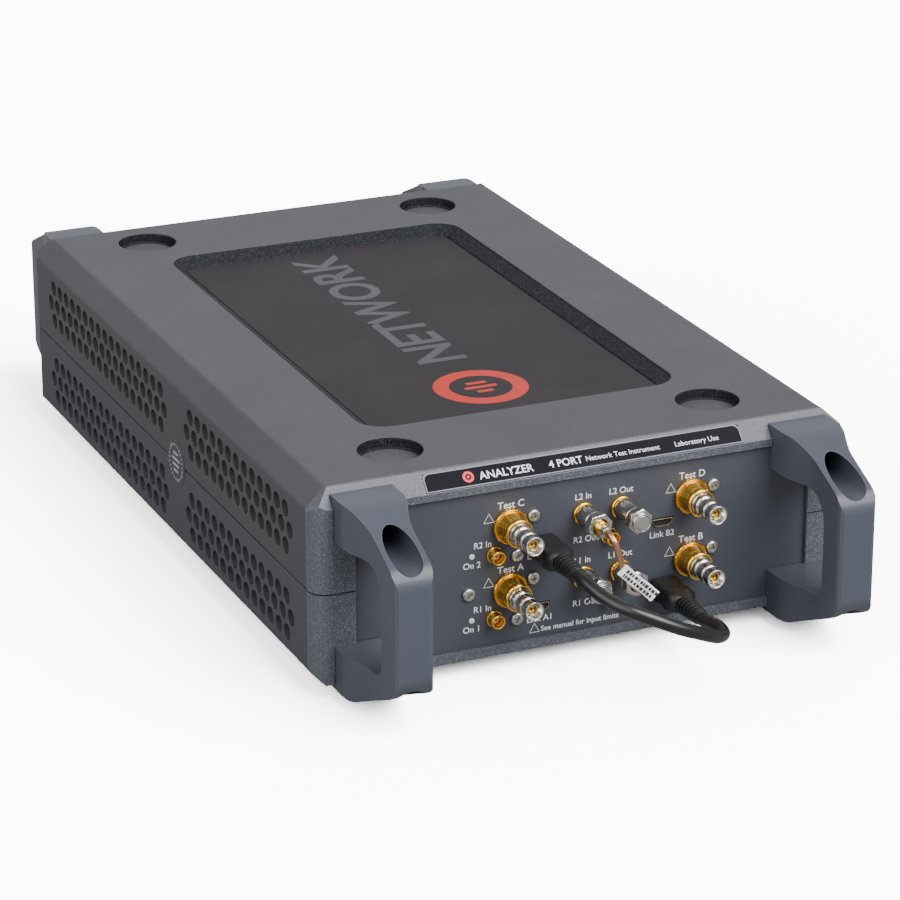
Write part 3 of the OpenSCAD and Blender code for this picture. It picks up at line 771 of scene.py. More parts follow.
def threads(radius: float, depth: float, low: float, high: float, pitch: float = 0.706) -> list[Flat]:
    """Returns the zigzag profile of a screw thread.

    Args:
        radius: Outer radius.
        depth: Depth of the thread.
        low: Lower end.
        high: Upper end.
        pitch: Distance from crest to crest.

    Returns:
        Radius and height pairs.
    """
    points: list[Flat] = []
    count = max(1, int((high - low) / pitch))
    step = (high - low) / count
    for i in range(count):
        base = low + i * step
        points += [
            (radius - depth, base + 0.05 * step), (radius, base + 0.42 * step), (radius, base + 0.58 * step)
        ]
    points.append((radius - depth, high - 0.02 * step))
    return points


def hexagon(
    name: str, flats_mm: float, low_mm: float, high_mm: float, hole_mm: float, at: Matrix, turn: float = 0.0
) -> Object:
    """Makes a chamfered hexagon nut with a round hole.

    Args:
        name: Name of the object.
        flats_mm: Size across the flats.
        low_mm: Lower end.
        high_mm: Upper end.
        hole_mm: Radius of the hole.
        at: Where to put it.
        turn: Turn round the axis in degrees.

    Returns:
        The object, not linked yet.
    """
    sides = 96
    half = flats_mm / 2

    def reach(angle: float) -> float:
        """Radius of the hexagon at an angle."""
        local = (math.degrees(angle) - turn) % 60 - 30
        return half / math.cos(math.radians(local))

    cuts = [(0.0, 0.955), (0.12, 1.01), (0.24, 1.06), (0.36, 1.11), (0.5, 1.2)]
    levels = [(low_mm + d, half * k) for d, k in cuts] + [(high_mm - d, half * k) for d, k in reversed(cuts)]
    rings: list[list[Point]] = []
    turns = [FULL_TURN * k / sides for k in range(sides)]
    for height, cap in levels:
        rings.append(
            [
                (min(reach(t), cap) * MM * math.cos(t), min(reach(t), cap) * MM * math.sin(t), height * MM)
                for t in turns
            ]
        )
    for radius, height in (
        (hole_mm + 0.25, high_mm), (hole_mm, high_mm - 0.25), (hole_mm, low_mm + 0.25),
        (hole_mm + 0.25, low_mm)
    ):
        rings.append([(radius * MM * math.cos(t), radius * MM * math.sin(t), height * MM) for t in turns])
    return loft(name, rings, at, closed=True)


def arc(centre: Flat, radius: float, start: float, end: float, steps: int) -> list[Flat]:
    """Returns points along an arc, angles in degrees."""
    out: list[Flat] = []
    for i in range(steps + 1):
        angle = math.radians(start + (end - start) * i / steps)
        out.append((centre[0] + radius * math.cos(angle), centre[1] + radius * math.sin(angle)))
    return out


def rectangle(x: Flat, y: Flat) -> list[Flat]:
    """Returns a rectangle's outline in metres from its two ranges in millimetres."""
    return [(x[i] * MM, y[j] * MM) for i, j in ((0, 0), (1, 0), (1, 1), (0, 1))]


def round_rect(
    width: float, height: float, radius: float, steps: int = 8, at: Flat = (0.0, 0.0)
) -> list[Flat]:
    """Returns a rounded rectangle's outline, counter-clockwise."""
    x, y = width / 2 - radius, height / 2 - radius
    out: list[Flat] = []
    for (cx, cy), start in (((x, y), 0), ((-x, y), 90), ((-x, -y), 180), ((x, -y), 270)):
        out += arc((cx + at[0], cy + at[1]), radius, start, start + 90, steps)
    return out


def on_front(x: float, z: float, out: float = 0.0) -> Matrix:
    """Frame on the front panel's face: local Z points out of it and local Y points up."""
    return Matrix.Translation((x, Y_PANEL - out, z)) @ Matrix.Rotation(math.radians(90), 4, "X")


def on_back(x: float, z: float, out: float = 0.0) -> Matrix:
    """Frame on the rear panel's face: local Z points out of it and local Y points up."""
    turn = Matrix(((-1, 0, 0, 0), (0, 0, 1, 0), (0, 1, 0, 0), (0, 0, 0, 1)))
    return Matrix.Translation((x, Y_PANEL_BACK + out, z)) @ turn


def lettering(
    body: str, size_mm: float, at: Matrix, material: Material, align: str = "CENTER", weight: float = 0.0,
    lift_mm: float = 0.03, spacing: float = 1.0
) -> Object:
    """Makes flat printed letters as a thin mesh.

    Args:
        body: What is written.
        size_mm: Height of the letters' line.
        at: Frame of the middle of the line.
        material: Ink.
        align: LEFT, CENTER or RIGHT.
        weight: Boldness as a share of the size.
        lift_mm: Thickness of the ink.
        spacing: Spacing of the letters.

    Returns:
        The object, not linked yet.
    """
    curve = bpy.data.curves.new("line", "FONT")
    curve.body = body
    curve.size = size_mm * MM
    curve.align_x = align
    curve.align_y = "CENTER"
    curve.offset = weight * size_mm * MM
    curve.extrude = lift_mm * MM
    curve.space_character = spacing
    curve.resolution_u = 4
    obj = bpy.data.objects.new("line", curve)
    link(obj)
    flat = plain_copy(obj, "line")
    flat.data.transform(at)
    flat.data.materials.clear()
    flat.data.materials.append(material)
    return flat


def stroke(
    points: Sequence[Flat], width: float, at: Matrix, material: Material, lift: float = 0.00003
) -> Object:
    """Makes a closed band of even width round a convex outline.

    Args:
        points: Corners of the band's middle line.
        width: Width of the band.
        at: Where to put it.
        material: Ink.
        lift: Height of the ink.

    Returns:
        The object, not linked yet.
    """
    middle = sum((Vector(p) for p in points), Vector((0, 0))) / len(points)
    rings: list[list[Point]] = []
    for sign, height in ((1, 0.0), (1, lift), (-1, lift), (-1, 0.0)):
        ring: list[Point] = []
        for point in points:
            away = Vector(point) - middle
            moved = middle + away * (1 + sign * width / 2 / max(away.length, 1e-6) * 1.3)
            ring.append((moved.x, moved.y, height))
        rings.append(ring)
    made = loft("band", rings, at, closed=True)
    made.data.materials.append(material)
    return made


# ---- geometry nodes ----


class NodeTree:
    """A Geometry Nodes tree that is built in the script and applied to plain meshes."""

    def __init__(self, name: str, inputs: Sequence[tuple[str, str, object]]) -> None:
        """Makes the tree with its interface.

        Args:
            name: Name of the tree.
            inputs: Name, socket type and default value of each input after the geometry.
        """
        self.tree = bpy.data.node_groups.new(name, "GeometryNodeTree")
        self.tree.interface.new_socket("Geometry", in_out="INPUT", socket_type="NodeSocketGeometry")
        self.sockets: dict[str, str] = {}
        for label, kind, value in inputs:
            made = self.tree.interface.new_socket(label, in_out="INPUT", socket_type=kind)
            if value is not None:
                made.default_value = value
            self.sockets[label] = made.identifier
        self.tree.interface.new_socket("Geometry", in_out="OUTPUT", socket_type="NodeSocketGeometry")
        self.source = self.tree.nodes.new("NodeGroupInput")
        self.sink = self.tree.nodes.new("NodeGroupOutput")

    def add(self, kind: str, **links: object) -> bpy.types.Node:
        """Adds a node, whose type may leave out GeometryNode, and links or sets its inputs."""
        full = kind if kind.startswith(("Shader", "Function")) else "GeometryNode" + kind
        return add_node(self.tree, full, **links)

    def finish(self, geometry: object, material: object) -> None:
        """Ends the tree in Realize Instances and Set Material.

        Args:
            geometry: The last geometry socket.
            material: Socket that holds the material.
        """
        real = self.add("RealizeInstances", Geometry=geometry)
        dressed = self.add("SetMaterial", Geometry=real.outputs[0], Material=material)
        self.tree.links.new(dressed.outputs[0], self.sink.inputs[0])

    def apply(self, obj: Object, name: str, **values: object) -> Object:
        """Runs the tree on an object and returns the plain result.

        Args:
            obj: The object whose mesh goes in. It is removed.
            name: Name of the result.
            **values: Input values by name, spaces as underscores.

        Returns:
            The plain object, not linked yet.
        """
        link(obj)
        modifier = obj.modifiers.new(name, "NODES")
        modifier.node_group = self.tree
        for label, value in values.items():
            modifier[self.sockets[label.replace("_", " ")]] = value
        return plain_copy(obj, name)


def points_object(points: Sequence[Point]) -> Object:
    """Makes an object of loose points."""
    data = bpy.data.meshes.new("points")
    data.from_pydata([tuple(p) for p in points], [], [])
    return bpy.data.objects.new("points", data)


def scatter_tree() -> NodeTree:
    """Makes the tree that repeats one piece on points, turned at random round its axis."""
    tree = NodeTree(
        "RepeatOnPoints",
        [
            ("Piece", "NodeSocketObject", None),
            ("Facing", "NodeSocketRotation", None),
            ("Seed", "NodeSocketInt", 1),
            ("Material", "NodeSocketMaterial", None),
        ],
    )
    info = tree.add("ObjectInfo", Object=tree.source.outputs["Piece"])
    spin = tree.tree.nodes.new("FunctionNodeRandomValue")
    spin.data_type = "FLOAT"
    spin.inputs[2].default_value = 0.0
    spin.inputs[3].default_value = FULL_TURN
    tree.tree.links.new(tree.source.outputs["Seed"], spin.inputs["Seed"])
    turn = tree.add("FunctionNodeAxisAngleToRotation", Axis=(0, 0, 1), Angle=spin.outputs[1])
    both = tree.tree.nodes.new("FunctionNodeRotateRotation")
    both.rotation_space = "LOCAL"
    tree.tree.links.new(tree.source.outputs["Facing"], both.inputs[0])
    tree.tree.links.new(turn.outputs[0], both.inputs[1])
    on = tree.add(
        "InstanceOnPoints", Points=tree.source.outputs["Geometry"], Instance=info.outputs["Geometry"],
        Rotation=both.outputs[0]
    )
    tree.finish(on.outputs[0], tree.source.outputs["Material"])
    return tree


# ---- the case ----


class Shop:
    """Holds the built materials and repeats, and registers every finished piece."""

    def __init__(self) -> None:
        """Builds the shared groups, materials and trees."""
        groups = {
            "texture": texture_group(), "wear": wear_group(), "dust": dust_group(), "lines": lines_group()
        }
        self.materials = {name: finish.build(groups) for name, finish in FINISHES.items()}
        self.scatter = scatter_tree()

    def __getitem__(self, name: str) -> Material:
        """Returns a material by its short name."""
        return self.materials[name]

    def add(
        self,
        obj: Object,
        name: str,
        slot: Slot,
        replaces: Sequence[str] = (),
        body: Body = Body.CASE,
        angle: float = 30.0,
    ) -> Object:
        """Names a finished piece, smooths it and hands it to the frame.

        Args:
            obj: The piece.
            name: Its name.
            slot: The record's slot for its finish; not used.
            replaces: CAD nodes it stands for.
            body: The body it rides on.
            angle: Edges sharper than this many degrees stay sharp.

        Returns:
            The piece.
        """
        obj.name = name
        obj.data.name = name
        link(obj)
        obj.data.shade_smooth()
        obj.data.set_sharp_from_angle(angle=math.radians(angle))
        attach(obj, body.value)
        if replaces:
            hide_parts(*replaces)
        LOG.info("%s: %d faces on %s", name, len(obj.data.polygons), body.value)
        return obj

    def dress(self, finishes: dict[str, str]) -> None:
        """Gives CAD nodes their materials.

        Args:
            finishes: Material name by node name.
        """
        for node, finish in finishes.items():
            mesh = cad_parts[node].data
            if not mesh.materials:
                mesh.materials.append(self[finish])
            for index in range(len(mesh.materials)):
                mesh.materials[index] = self[finish]


@dataclass
class Maker:
    """A maker of pieces.

    Attributes:
        shop: Its materials and registry.
    """

    shop: Shop

    def turned(
        self, finish: str, profile_mm: Sequence[Flat], at: Matrix, sides: int = 64, soft_mm: float = 0.1
    ) -> Object:
        """Turns a profile and gives it a finish."""
        return place(lathe("turned", profile_mm, at, sides, soft_mm), [self.shop[finish]])

    def plate(
        self, finish: str, outline: Sequence[Flat], low: float, high: float, at: Matrix | None = None
    ) -> Object:
        """Extrudes an outline and gives it a finish."""
        return place(extrude("plate", outline, low, high, at), [self.shop[finish]])

    def repeat(self, piece: Object, finish: str, spots: Sequence[Point], tilt: float, seed: int) -> Object:
        """Repeats a piece on points.

        Args:
            piece: The piece, standing along Z.
            finish: Its finish.
            spots: Where the repeats stand.
            tilt: Turn of the piece round X.
            seed: Seed of the random turns round its axis.

        Returns:
            The repeats in one object.
        """
        facing = (tilt, 0.0, 0.0)
        points = points_object(spots)
        return self.shop.scatter.apply(
            points, "repeats", Piece=piece, Facing=facing, Seed=seed, Material=self.shop[finish]
        )


@dataclass
class Cover(Maker):
    """One half of the case: a folded shell with vent fields, and recesses in the upper one.

    Attributes:
        upper: Whether it is the upper half.
        wall: Wall thickness.
        cut: Size of the long edge cuts.
        soft: Rounding of the outer edges.
        seam: Half of the seam's gap.
        vent_r: Radius of a vent hole.
        pitch: Pitch of the holes along Y.
        rows: Height of each hole row from the seam, holes in its front and rear groups.
        recess: Width and length of the label recess.
        recess_depth: Depth of the recess and of the stacking sockets.
        recess_slope: How far the recess walls lean inwards.
        recess_y: Middle of the recess.
    """

    upper: bool
    wall: float = 3 * MM
    cut: float = 7 * MM
    soft: float = 0.8 * MM
    seam: float = 0.3 * MM
    vent_r: float = 3.05 * MM
    pitch: float = 7.6 * MM
    rows: tuple[tuple[float, int, int], ...] = ((9 * MM, 13, 17), (15.6 * MM, 14, 18), (22.2 * MM, 13, 17))
    recess: Flat = (118 * MM, 200 * MM)
    recess_depth: float = 4 * MM
    recess_slope: float = 4.6 * MM
    recess_y: float = 2.5 * MM

    def outline(self, inset: float) -> list[Flat]:
        """Returns the X-Z outline of this half from the left seam to the right seam.

        Args:
            inset: Distance inside the outer face.

        Returns:
            Points from left to right.
        """
        sign = 1 if self.upper else -1
        half = HALF_W - inset
        top = (Z_TOP if self.upper else FOOT_H) - sign * inset
        cut = self.cut - inset * (2 - math.sqrt(2))
        start = Z_MID + sign * self.seam
        corners = [
            (-half, start), (-half, top - sign * cut), (-half + cut, top), (half - cut, top),
            (half, top - sign * cut), (half, start)
        ]
        size = self.soft if inset == 0 else 0.5 * MM
        lip = 0.35 * MM if inset == 0 else 0.02 * MM
        out: list[Flat] = [(corners[0][0] + lip, corners[0][1]), (corners[0][0], corners[0][1] + sign * lip)]
        for before, here, after in zip(corners, corners[1:], corners[2:]):
            a, b, c = Vector(before), Vector(here), Vector(after)
            first, last = b + (a - b).normalized() * size, b + (c - b).normalized() * size
            for k in range(3):
                t = k / 2
                point = first * (1 - t) ** 2 + b * 2 * t * (1 - t) + last * t**2
                out.append((point.x, point.y))
        out += [(corners[-1][0], corners[-1][1] + sign * lip), (corners[-1][0] - lip, corners[-1][1])]
        return out

    def shell(self) -> Object:
        """Makes the plain shell with softened ends."""
        outer, inner = self.outline(0.0), self.outline(self.wall)[::-1]
        rings: list[list[Point]] = []
        for y, shrink in (
            (Y_COVER, 0.4 * MM), (Y_COVER + 0.12 * MM, 0.12 * MM), (Y_COVER + 0.4 * MM, 0.0),
            (Y_REAR - 0.4 * MM, 0.0), (Y_REAR - 0.12 * MM, 0.12 * MM), (Y_REAR, 0.4 * MM)
        ):
            edge = self.outline(shrink) if shrink else outer
            rings.append([(x, y, z) for x, z in edge] + [(x, y, z) for x, z in inner])
        return loft("shell", rings)

    def cutter(
        self, outline: Callable[[float], list[Flat]], centre: Point, depth: float, draft: float
    ) -> Object:
        """Makes a recess cutter with a rounded floor edge, sloped walls and a flared rim.

        Args:
            outline: Gives the recess outline grown by a distance.
            centre: Middle of the recess at the cover's top face.
            depth: Depth of the recess.
            draft: How far the floor is smaller than the rim.

        Returns:
            The cutter.
        """
        levels = [
            (-depth, -draft - 0.7 * MM), (-depth + 0.2 * MM, -draft - 0.2 * MM), (-depth + 0.7 * MM, -draft),
            (-0.6 * MM, 0.0), (-0.18 * MM, 0.18 * MM), (0.0, 0.6 * MM), (3 * MM, 0.9 * MM)
        ]
        rings = [
            [(centre[0] + x, centre[1] + y, centre[2] + z) for x, y in outline(grow)] for z, grow in levels
        ]
        return loft("cutter", rings)

    def recesses(self) -> list[Object]:
        """Makes the cutters of the label recess and the stacking sockets."""
        width, length = self.recess

        def label(grow: float) -> list[Flat]:
            """Outline of the label recess."""
            return round_rect(width + 2 * grow, length + 2 * grow, 10 * MM + grow, 10)

        def socket(grow: float) -> list[Flat]:
            """Outline of a stacking socket."""
            return arc((0, 0), 11 * MM + grow, 0, 360 - 7.5, 47)

        out = [self.cutter(label, (0, self.recess_y, Z_TOP), self.recess_depth, self.recess_slope)]
        for y in STACK_Y:
            for sign in (-1, 1):
                out.append(self.cutter(socket, (sign * STACK_X, y, Z_TOP), self.recess_depth, 0.0))
        return out

    def pans(self) -> list[Object]:
        """Makes the thickened pads under the recesses."""
        low, high = Z_TOP - 6 * MM, Z_TOP - 1.2 * MM
        width, length = self.recess
        out = [
            extrude(
                "pad", round_rect(width + 6 * MM, length + 6 * MM, 13 * MM, 8, (0, self.recess_y)), low, high
            )
        ]
        for y in STACK_Y:
            for sign in (-1, 1):
                out.append(extrude("pad", arc((sign * STACK_X, y), 13 * MM, 0, 360 - 11.25, 31), low, high))
        return out

    def build(self, vents: NodeTree, cut: NodeTree) -> Object:
        """Builds and registers the cover.

        Args:
            vents: Tree that drills the vent fields.
            cut: Tree that adds pads and cuts recesses.

        Returns:
            The piece.
        """
        paint = self.shop["cover" if self.upper else "cover_low"]
        made = self.shell()
        if self.upper:
            pads, tools = join("pads", [link(p) for p in self.pans()]), join(
                "tools", [link(t) for t in self.recesses()]
            )
            made = cut.apply(made, "case_cover", Pads=pads, Tools=tools, Material=paint)
            drop(pads)
            drop(tools)
        sign = 1 if self.upper else -1
        made = vents.apply(
            made, "case_cover", Radius=self.vent_r, Pitch=self.pitch, Seam=Z_MID, Side=float(sign),
            Material=paint
        )
        made.data.materials.clear()
        # The second material is painted shade on the walls of the label recess and the stacking sockets.
        for material in (paint, self.shop["recess"], self.shop["dark_bore"]):
            made.data.materials.append(material)
        for face in made.data.polygons:
            face.material_index = self.face_finish(face.center, face.normal)
        name = "cover_top_shell" if self.upper else "cover_base_shell"
        node = "cover_upper" if self.upper else "cover_lower"
        return self.shop.add(made, name, Slot.COVER, [node], angle=9.5)

    def face_finish(self, centre: Vector, normal: Vector) -> int:
        """Chooses the finish of a face: 1, the dark painted shade, on the recess walls, 0 elsewhere."""
        wall = self.upper and Z_TOP - 4.2 * MM < centre.z < Z_TOP - 0.12 * MM and abs(centre.x) < 75 * MM
        return 1 if wall and normal.z < 0.97 and abs(centre.y) < 137.8 * MM else 0


def vent_tree(cover: Cover, sides: int = 20) -> NodeTree:
    """Makes the tree that drills both sides' vent fields through a shell.

    Args:
        cover: Gives the rows.
        sides: Sides of a hole.

    Returns:
        The tree.
    """
    tree = NodeTree(
        "VentField",
        [
            ("Radius", "NodeSocketFloat", 0.003),
            ("Pitch", "NodeSocketFloat", 0.0076),
            ("Seam", "NodeSocketFloat", 0.0385),
            ("Side", "NodeSocketFloat", 1.0),
            ("Material", "NodeSocketMaterial", None),
        ],
    )
    source = tree.source.outputs
    drill = tree.add("MeshCylinder", Vertices=sides, Radius=source["Radius"], Depth=0.012)
    turned = tree.add("Transform", Geometry=drill.outputs["Mesh"], Rotation=(0.0, math.pi / 2, 0.0))
    groups = ((Y_COVER + 18.3 * MM, 1), (Y_COVER + 140.6 * MM, 2))
    rows = tree.add("JoinGeometry")
    for height, *counts in cover.rows:
        for start, which in groups:
            count = counts[which - 1]
            shift = -0.5 if count in (14, 18) else 0.0
            for side in (-1, 1):
                y = math_node(tree.tree, "MULTIPLY_ADD", source["Pitch"], shift, start)
                z = math_node(tree.tree, "MULTIPLY_ADD", source["Side"], height, source["Seam"])
                begin = tree.add("ShaderNodeCombineXYZ", X=side * HALF_W, Y=y, Z=z)
                step = tree.add("ShaderNodeCombineXYZ", Y=source["Pitch"])
                line = tree.add(
                    "MeshLine", Count=count, Start_Location=begin.outputs[0], Offset=step.outputs[0]
                )
                holes = tree.add("InstanceOnPoints", Points=line.outputs[0], Instance=turned.outputs[0])
                tree.tree.links.new(holes.outputs[0], rows.inputs[0])
    cutters = tree.add("RealizeInstances", Geometry=rows.outputs[0])
    drilled = tree.add("MeshBoolean", Mesh_1=source["Geometry"], Mesh_2=cutters.outputs[0])
    drilled.operation = "DIFFERENCE"
    drilled.solver = "MANIFOLD"
    tree.finish(drilled.outputs[0], source["Material"])
    return tree


def recess_tree() -> NodeTree:
    """Makes the tree that joins pads to a shell and then cuts tools out of it."""
    tree = NodeTree(
        "PadAndCut",
        [
            ("Pads", "NodeSocketObject", None), ("Tools", "NodeSocketObject", None),
            ("Material", "NodeSocketMaterial", None)
        ],
    )
    source = tree.source.outputs
    pads = tree.add("ObjectInfo", Object=source["Pads"])
    tools = tree.add("ObjectInfo", Object=source["Tools"])
    joined = tree.add("MeshBoolean", Mesh_2=source["Geometry"])
    joined.operation = "UNION"
    joined.solver = "MANIFOLD"
    tree.tree.links.new(pads.outputs["Geometry"], joined.inputs["Mesh 2"])
    cut = tree.add("MeshBoolean", Mesh_1=joined.outputs[0], Mesh_2=tools.outputs["Geometry"])
    cut.operation = "DIFFERENCE"
    cut.solver = "MANIFOLD"
    tree.finish(cut.outputs[0], source["Material"])
    return tree


@dataclass
class Handle(Maker):
    """One bracket-shaped handle.

    Attributes:
        reach: How far the grip stands in front of the bezel.
        root_back: How far the roots go back into the bezel.
        root_half: Half width of the roots.
        grip_half: Half width of the grip.
        gap_half: Half height of the finger gap.
        well_r: Radius of the screw wells.
        well_v: Distance of the wells from the middle.
    """

    reach: float = 41.0
    root_back: float = 3.5
    root_half: float = 10.9
    grip_half: float = 7.0
    gap_half: float = 18.7
    well_r: float = 5.3
    well_v: float = WELL_V / MM

    def side_outline(self) -> list[Flat]:
        """Returns the outline in reach and height, in millimetres."""
        shoulder, nose, slope, top = 16.0, 9.0, math.radians(24), 34.0
        nose_u = self.reach - nose
        start_u = 8 + shoulder * math.sin(slope)
        nose_v = (
            top - shoulder * (1 - math.cos(slope)) - nose * math.cos(slope)
            - math.tan(slope) * (nose_u + nose * math.sin(slope) - start_u)
        )
        upper = [(-self.root_back, top)] + arc((8, top - shoulder), shoulder, 90, 66, 10) + arc(
            (nose_u, nose_v), nose, 66, 0, 16
        )
        return upper + [(u, -v) for u, v in reversed(upper)]

    def plan_outline(self) -> list[Flat]:
        """Returns the outline in width and reach, in millimetres."""
        right: list[Flat] = [(self.root_half, -self.root_back)]
        for i in range(17):
            u = 5 + 19 * i / 16
            blend = 0.5 + 0.5 * math.cos(math.pi * (u - 5) / 19)
            right.append((self.grip_half + (self.root_half - self.grip_half) * blend, u))
        right += [
            (self.grip_half, self.reach - 2.0), (self.grip_half - 0.5, self.reach - 0.8),
            (self.grip_half - 1.6, self.reach)
        ]
        return right + [(-x, u) for x, u in reversed(right)]

    def gap_outline(self) -> list[Flat]:
        """Returns the finger gap in reach and height, in millimetres."""
        high, low = self.gap_half - 11, 6 - self.gap_half
        return (
            [(-self.root_back - 2, self.gap_half)] + arc((19, high), 11, 90, 0, 16) + arc(
                (24, low), 6, 0, -90, 10
            )
            + [(-self.root_back - 2, -self.gap_half)]
        )

    def solid(self) -> Object:
        """Makes one handle with its root at y = 0 and its grip at -Y."""
        side = [(-u * MM, v * MM) for u, v in self.side_outline()]
        plan = [(x * MM, -u * MM) for x, u in self.plan_outline()]
        gap = [(-u * MM, v * MM) for u, v in self.gap_outline()]
        to_yz = Matrix(((0, 0, 1, 0), (1, 0, 0, 0), (0, 1, 0, 0), (0, 0, 0, 1)))
        body = extrude("handle", plan, -45 * MM, 45 * MM)
        across = extrude("across", side, -20 * MM, 20 * MM, to_yz)
        hole = extrude("hole", gap, -21 * MM, 21 * MM, to_yz)
        tools = [hole]
        for v in (-self.well_v, self.well_v):
            at = Matrix.Translation((0, 0, v * MM)) @ Matrix.Rotation(math.radians(90), 4, "X")
            well = [
                (0.0, 2.0), (self.well_r - 0.4, 2.0), (self.well_r, 2.4), (self.well_r, 60.0), (0.0, 60.0)
            ]
            tools.append(lathe("well", well, at, 48, 0.0))
            tools.append(lathe("bore", [(0.0, -8.0), (2.25, -8.0), (2.25, 4.0), (0.0, 4.0)], at, 32, 0.0))
        return carve(body, [across] + tools, "handle", "INTERSECT")

    def build(self) -> None:
        """Builds and registers the four handles."""
        master = self.solid()
        for end, y, turn in (("front", Y_FACE, 0.0), ("rear", Y_BACK, math.pi)):
            for side, sign in (("left", -1), ("right", 1)):
                data = master.data.copy()
                data.transform(
                    Matrix.Translation((sign * HANDLE_X, y, Z_MID)) @ Matrix.Rotation(turn, 4, "Z")
                )
                data.materials.clear()
                data.materials.append(self.shop["handle"])
                obj = bpy.data.objects.new("handle", data)
                node = f"handle_{end}_{side}"
                self.shop.add(obj, f"grip_{end}_{side}", Slot.HANDLE, [node], angle=28.0)
        bpy.data.objects.remove(master)


# ---- fittings ----


@dataclass
class TestPorts(Maker):
    """The four test ports: gold flange and cone, turned barrel and centre contact."""

    flange: tuple[Flat, ...] = (
        (3.0, -3.5), (4.45, -3.5), (4.45, 0.0), (6.1, 0.0), (6.2, 1.6), (5.95, 2.0), (5.75, 2.0),
        (5.65, 1.6), (5.45, 1.6), (5.4, 2.2), (5.2, 2.8), (4.8, 5.9), (5.0, 6.4), (5.0, 8.5), (4.6, 9.0),
        (4.2, 9.0), (4.1, 8.1), (3.0, 8.1),
    )
    barrel: tuple[Flat, ...] = (
        (1.6, -9.5), (2.97, -9.5), (2.97, 8.1), (4.05, 8.15), (4.05, 9.3), (3.75, 9.6), (3.75, 11.3),
        (3.3, 11.8), (3.05, 11.9), (3.05, 12.5), (3.5, 12.9), (3.5, 15.9), (3.2, 16.3), (2.95, 16.4),
        (2.95, 17.0), (3.4, 17.4), (3.4, 20.45), (3.25, 20.7), (2.95, 20.7), (2.75, 20.5), (1.95, 18.7),
        (1.6, 18.62),
    )
    contact: tuple[Flat, ...] = (
        (0.0, 15.0), (1.58, 15.0), (1.58, 17.4), (0.95, 17.6), (0.52, 17.6), (0.5, 19.2), (0.3, 19.5),
        (0.0, 19.5),
    )

    def build(self) -> None:
        """Builds and registers the ports."""
        number = 0
        for z in ROW_Z:
            for x in PORT_X:
                number += 1
                at = on_front(x, z)
                for profile, name, node, slot in (
                    (self.flange, "flange", f"port_{number}_flange", Slot.GOLD),
                    (self.barrel, "barrel", f"port_{number}_barrel", Slot.POLISHED),
                ):
                    made = lathe(name, profile, at, 96)
                    place(made, [self.shop["gold" if slot is Slot.GOLD else "polished"]])
                    self.shop.add(made, f"test_port_{number}_{name}", slot, [node])
        spots = [(x, Y_PANEL, z) for z in ROW_Z for x in PORT_X]
        pin = lathe("pin", self.contact, Matrix.Identity(4), 40)
        place(pin, [self.shop["gold"]])
        made = self.repeat(pin, "gold", spots, math.pi / 2, 1)
        drop(pin)
        self.shop.add(made, "test_port_pins", Slot.GOLD, ["port_contacts"], angle=38.0)


@dataclass
class ThreadedJack(Maker):
    """A 1/4-36 coaxial jack with its insulator."""

    thread_r: float = 3.175
    face: float = 9.0

    def parts(self, at: Matrix, washer: bool = False) -> list[Object]:
        """Makes the metal body, the insulator and, on the rear, its nut and washer.

        Args:
            at: Frame of the jack on its panel.
            washer: Whether a nut and a washer hold it.

        Returns:
            The parts.
        """
        profile = [(0.65, -7.0), (3.1, -7.0), (3.1, 0.0), (4.0, 0.0), (4.0, 1.3), (3.7, 1.6), (3.0, 1.7)]
        profile += threads(self.thread_r, 0.28, 1.8, 8.75) + [
            (2.85, self.face), (2.3, self.face), (2.3, 6.8), (0.65, 6.8)
        ]
        body = self.turned("gold", profile, at, 64, 0.05)
        insulator = [(0.42, 6.8), (0.42, 8.5), (2.25, 8.55), (2.28, 6.8)]
        bead = self.turned("dielectric", insulator, at, 40, 0.05)
        socket = [(0.0, 6.9), (0.2, 7.4), (0.22, 8.3), (0.41, 8.35), (0.41, 6.8)]
        centre = self.turned("gold", socket, at, 24, 0.0)
        out = [body, bead, centre]
        if washer:
            out.append(self.turned("steel", [(3.2, 0.02), (5.2, 0.02), (5.2, 0.5), (3.2, 0.5)], at, 64))
            out.append(place(hexagon("nut", 7.9, 0.5, 2.4, 3.2, at, 12.0), [self.shop["steel"]]))
        return out

    def build(self) -> None:
        """Builds and registers the four front jacks."""
        for row, z in enumerate(ROW_Z):
            for side, x in zip(("in", "out"), LO_X):
                made = join("jack", self.parts(on_front(x, z)))
                self.shop.add(
                    made, f"threaded_jack_{row + 1}_{side}", Slot.GOLD, [f"lo{row + 1}_{side}_jack"]
                )


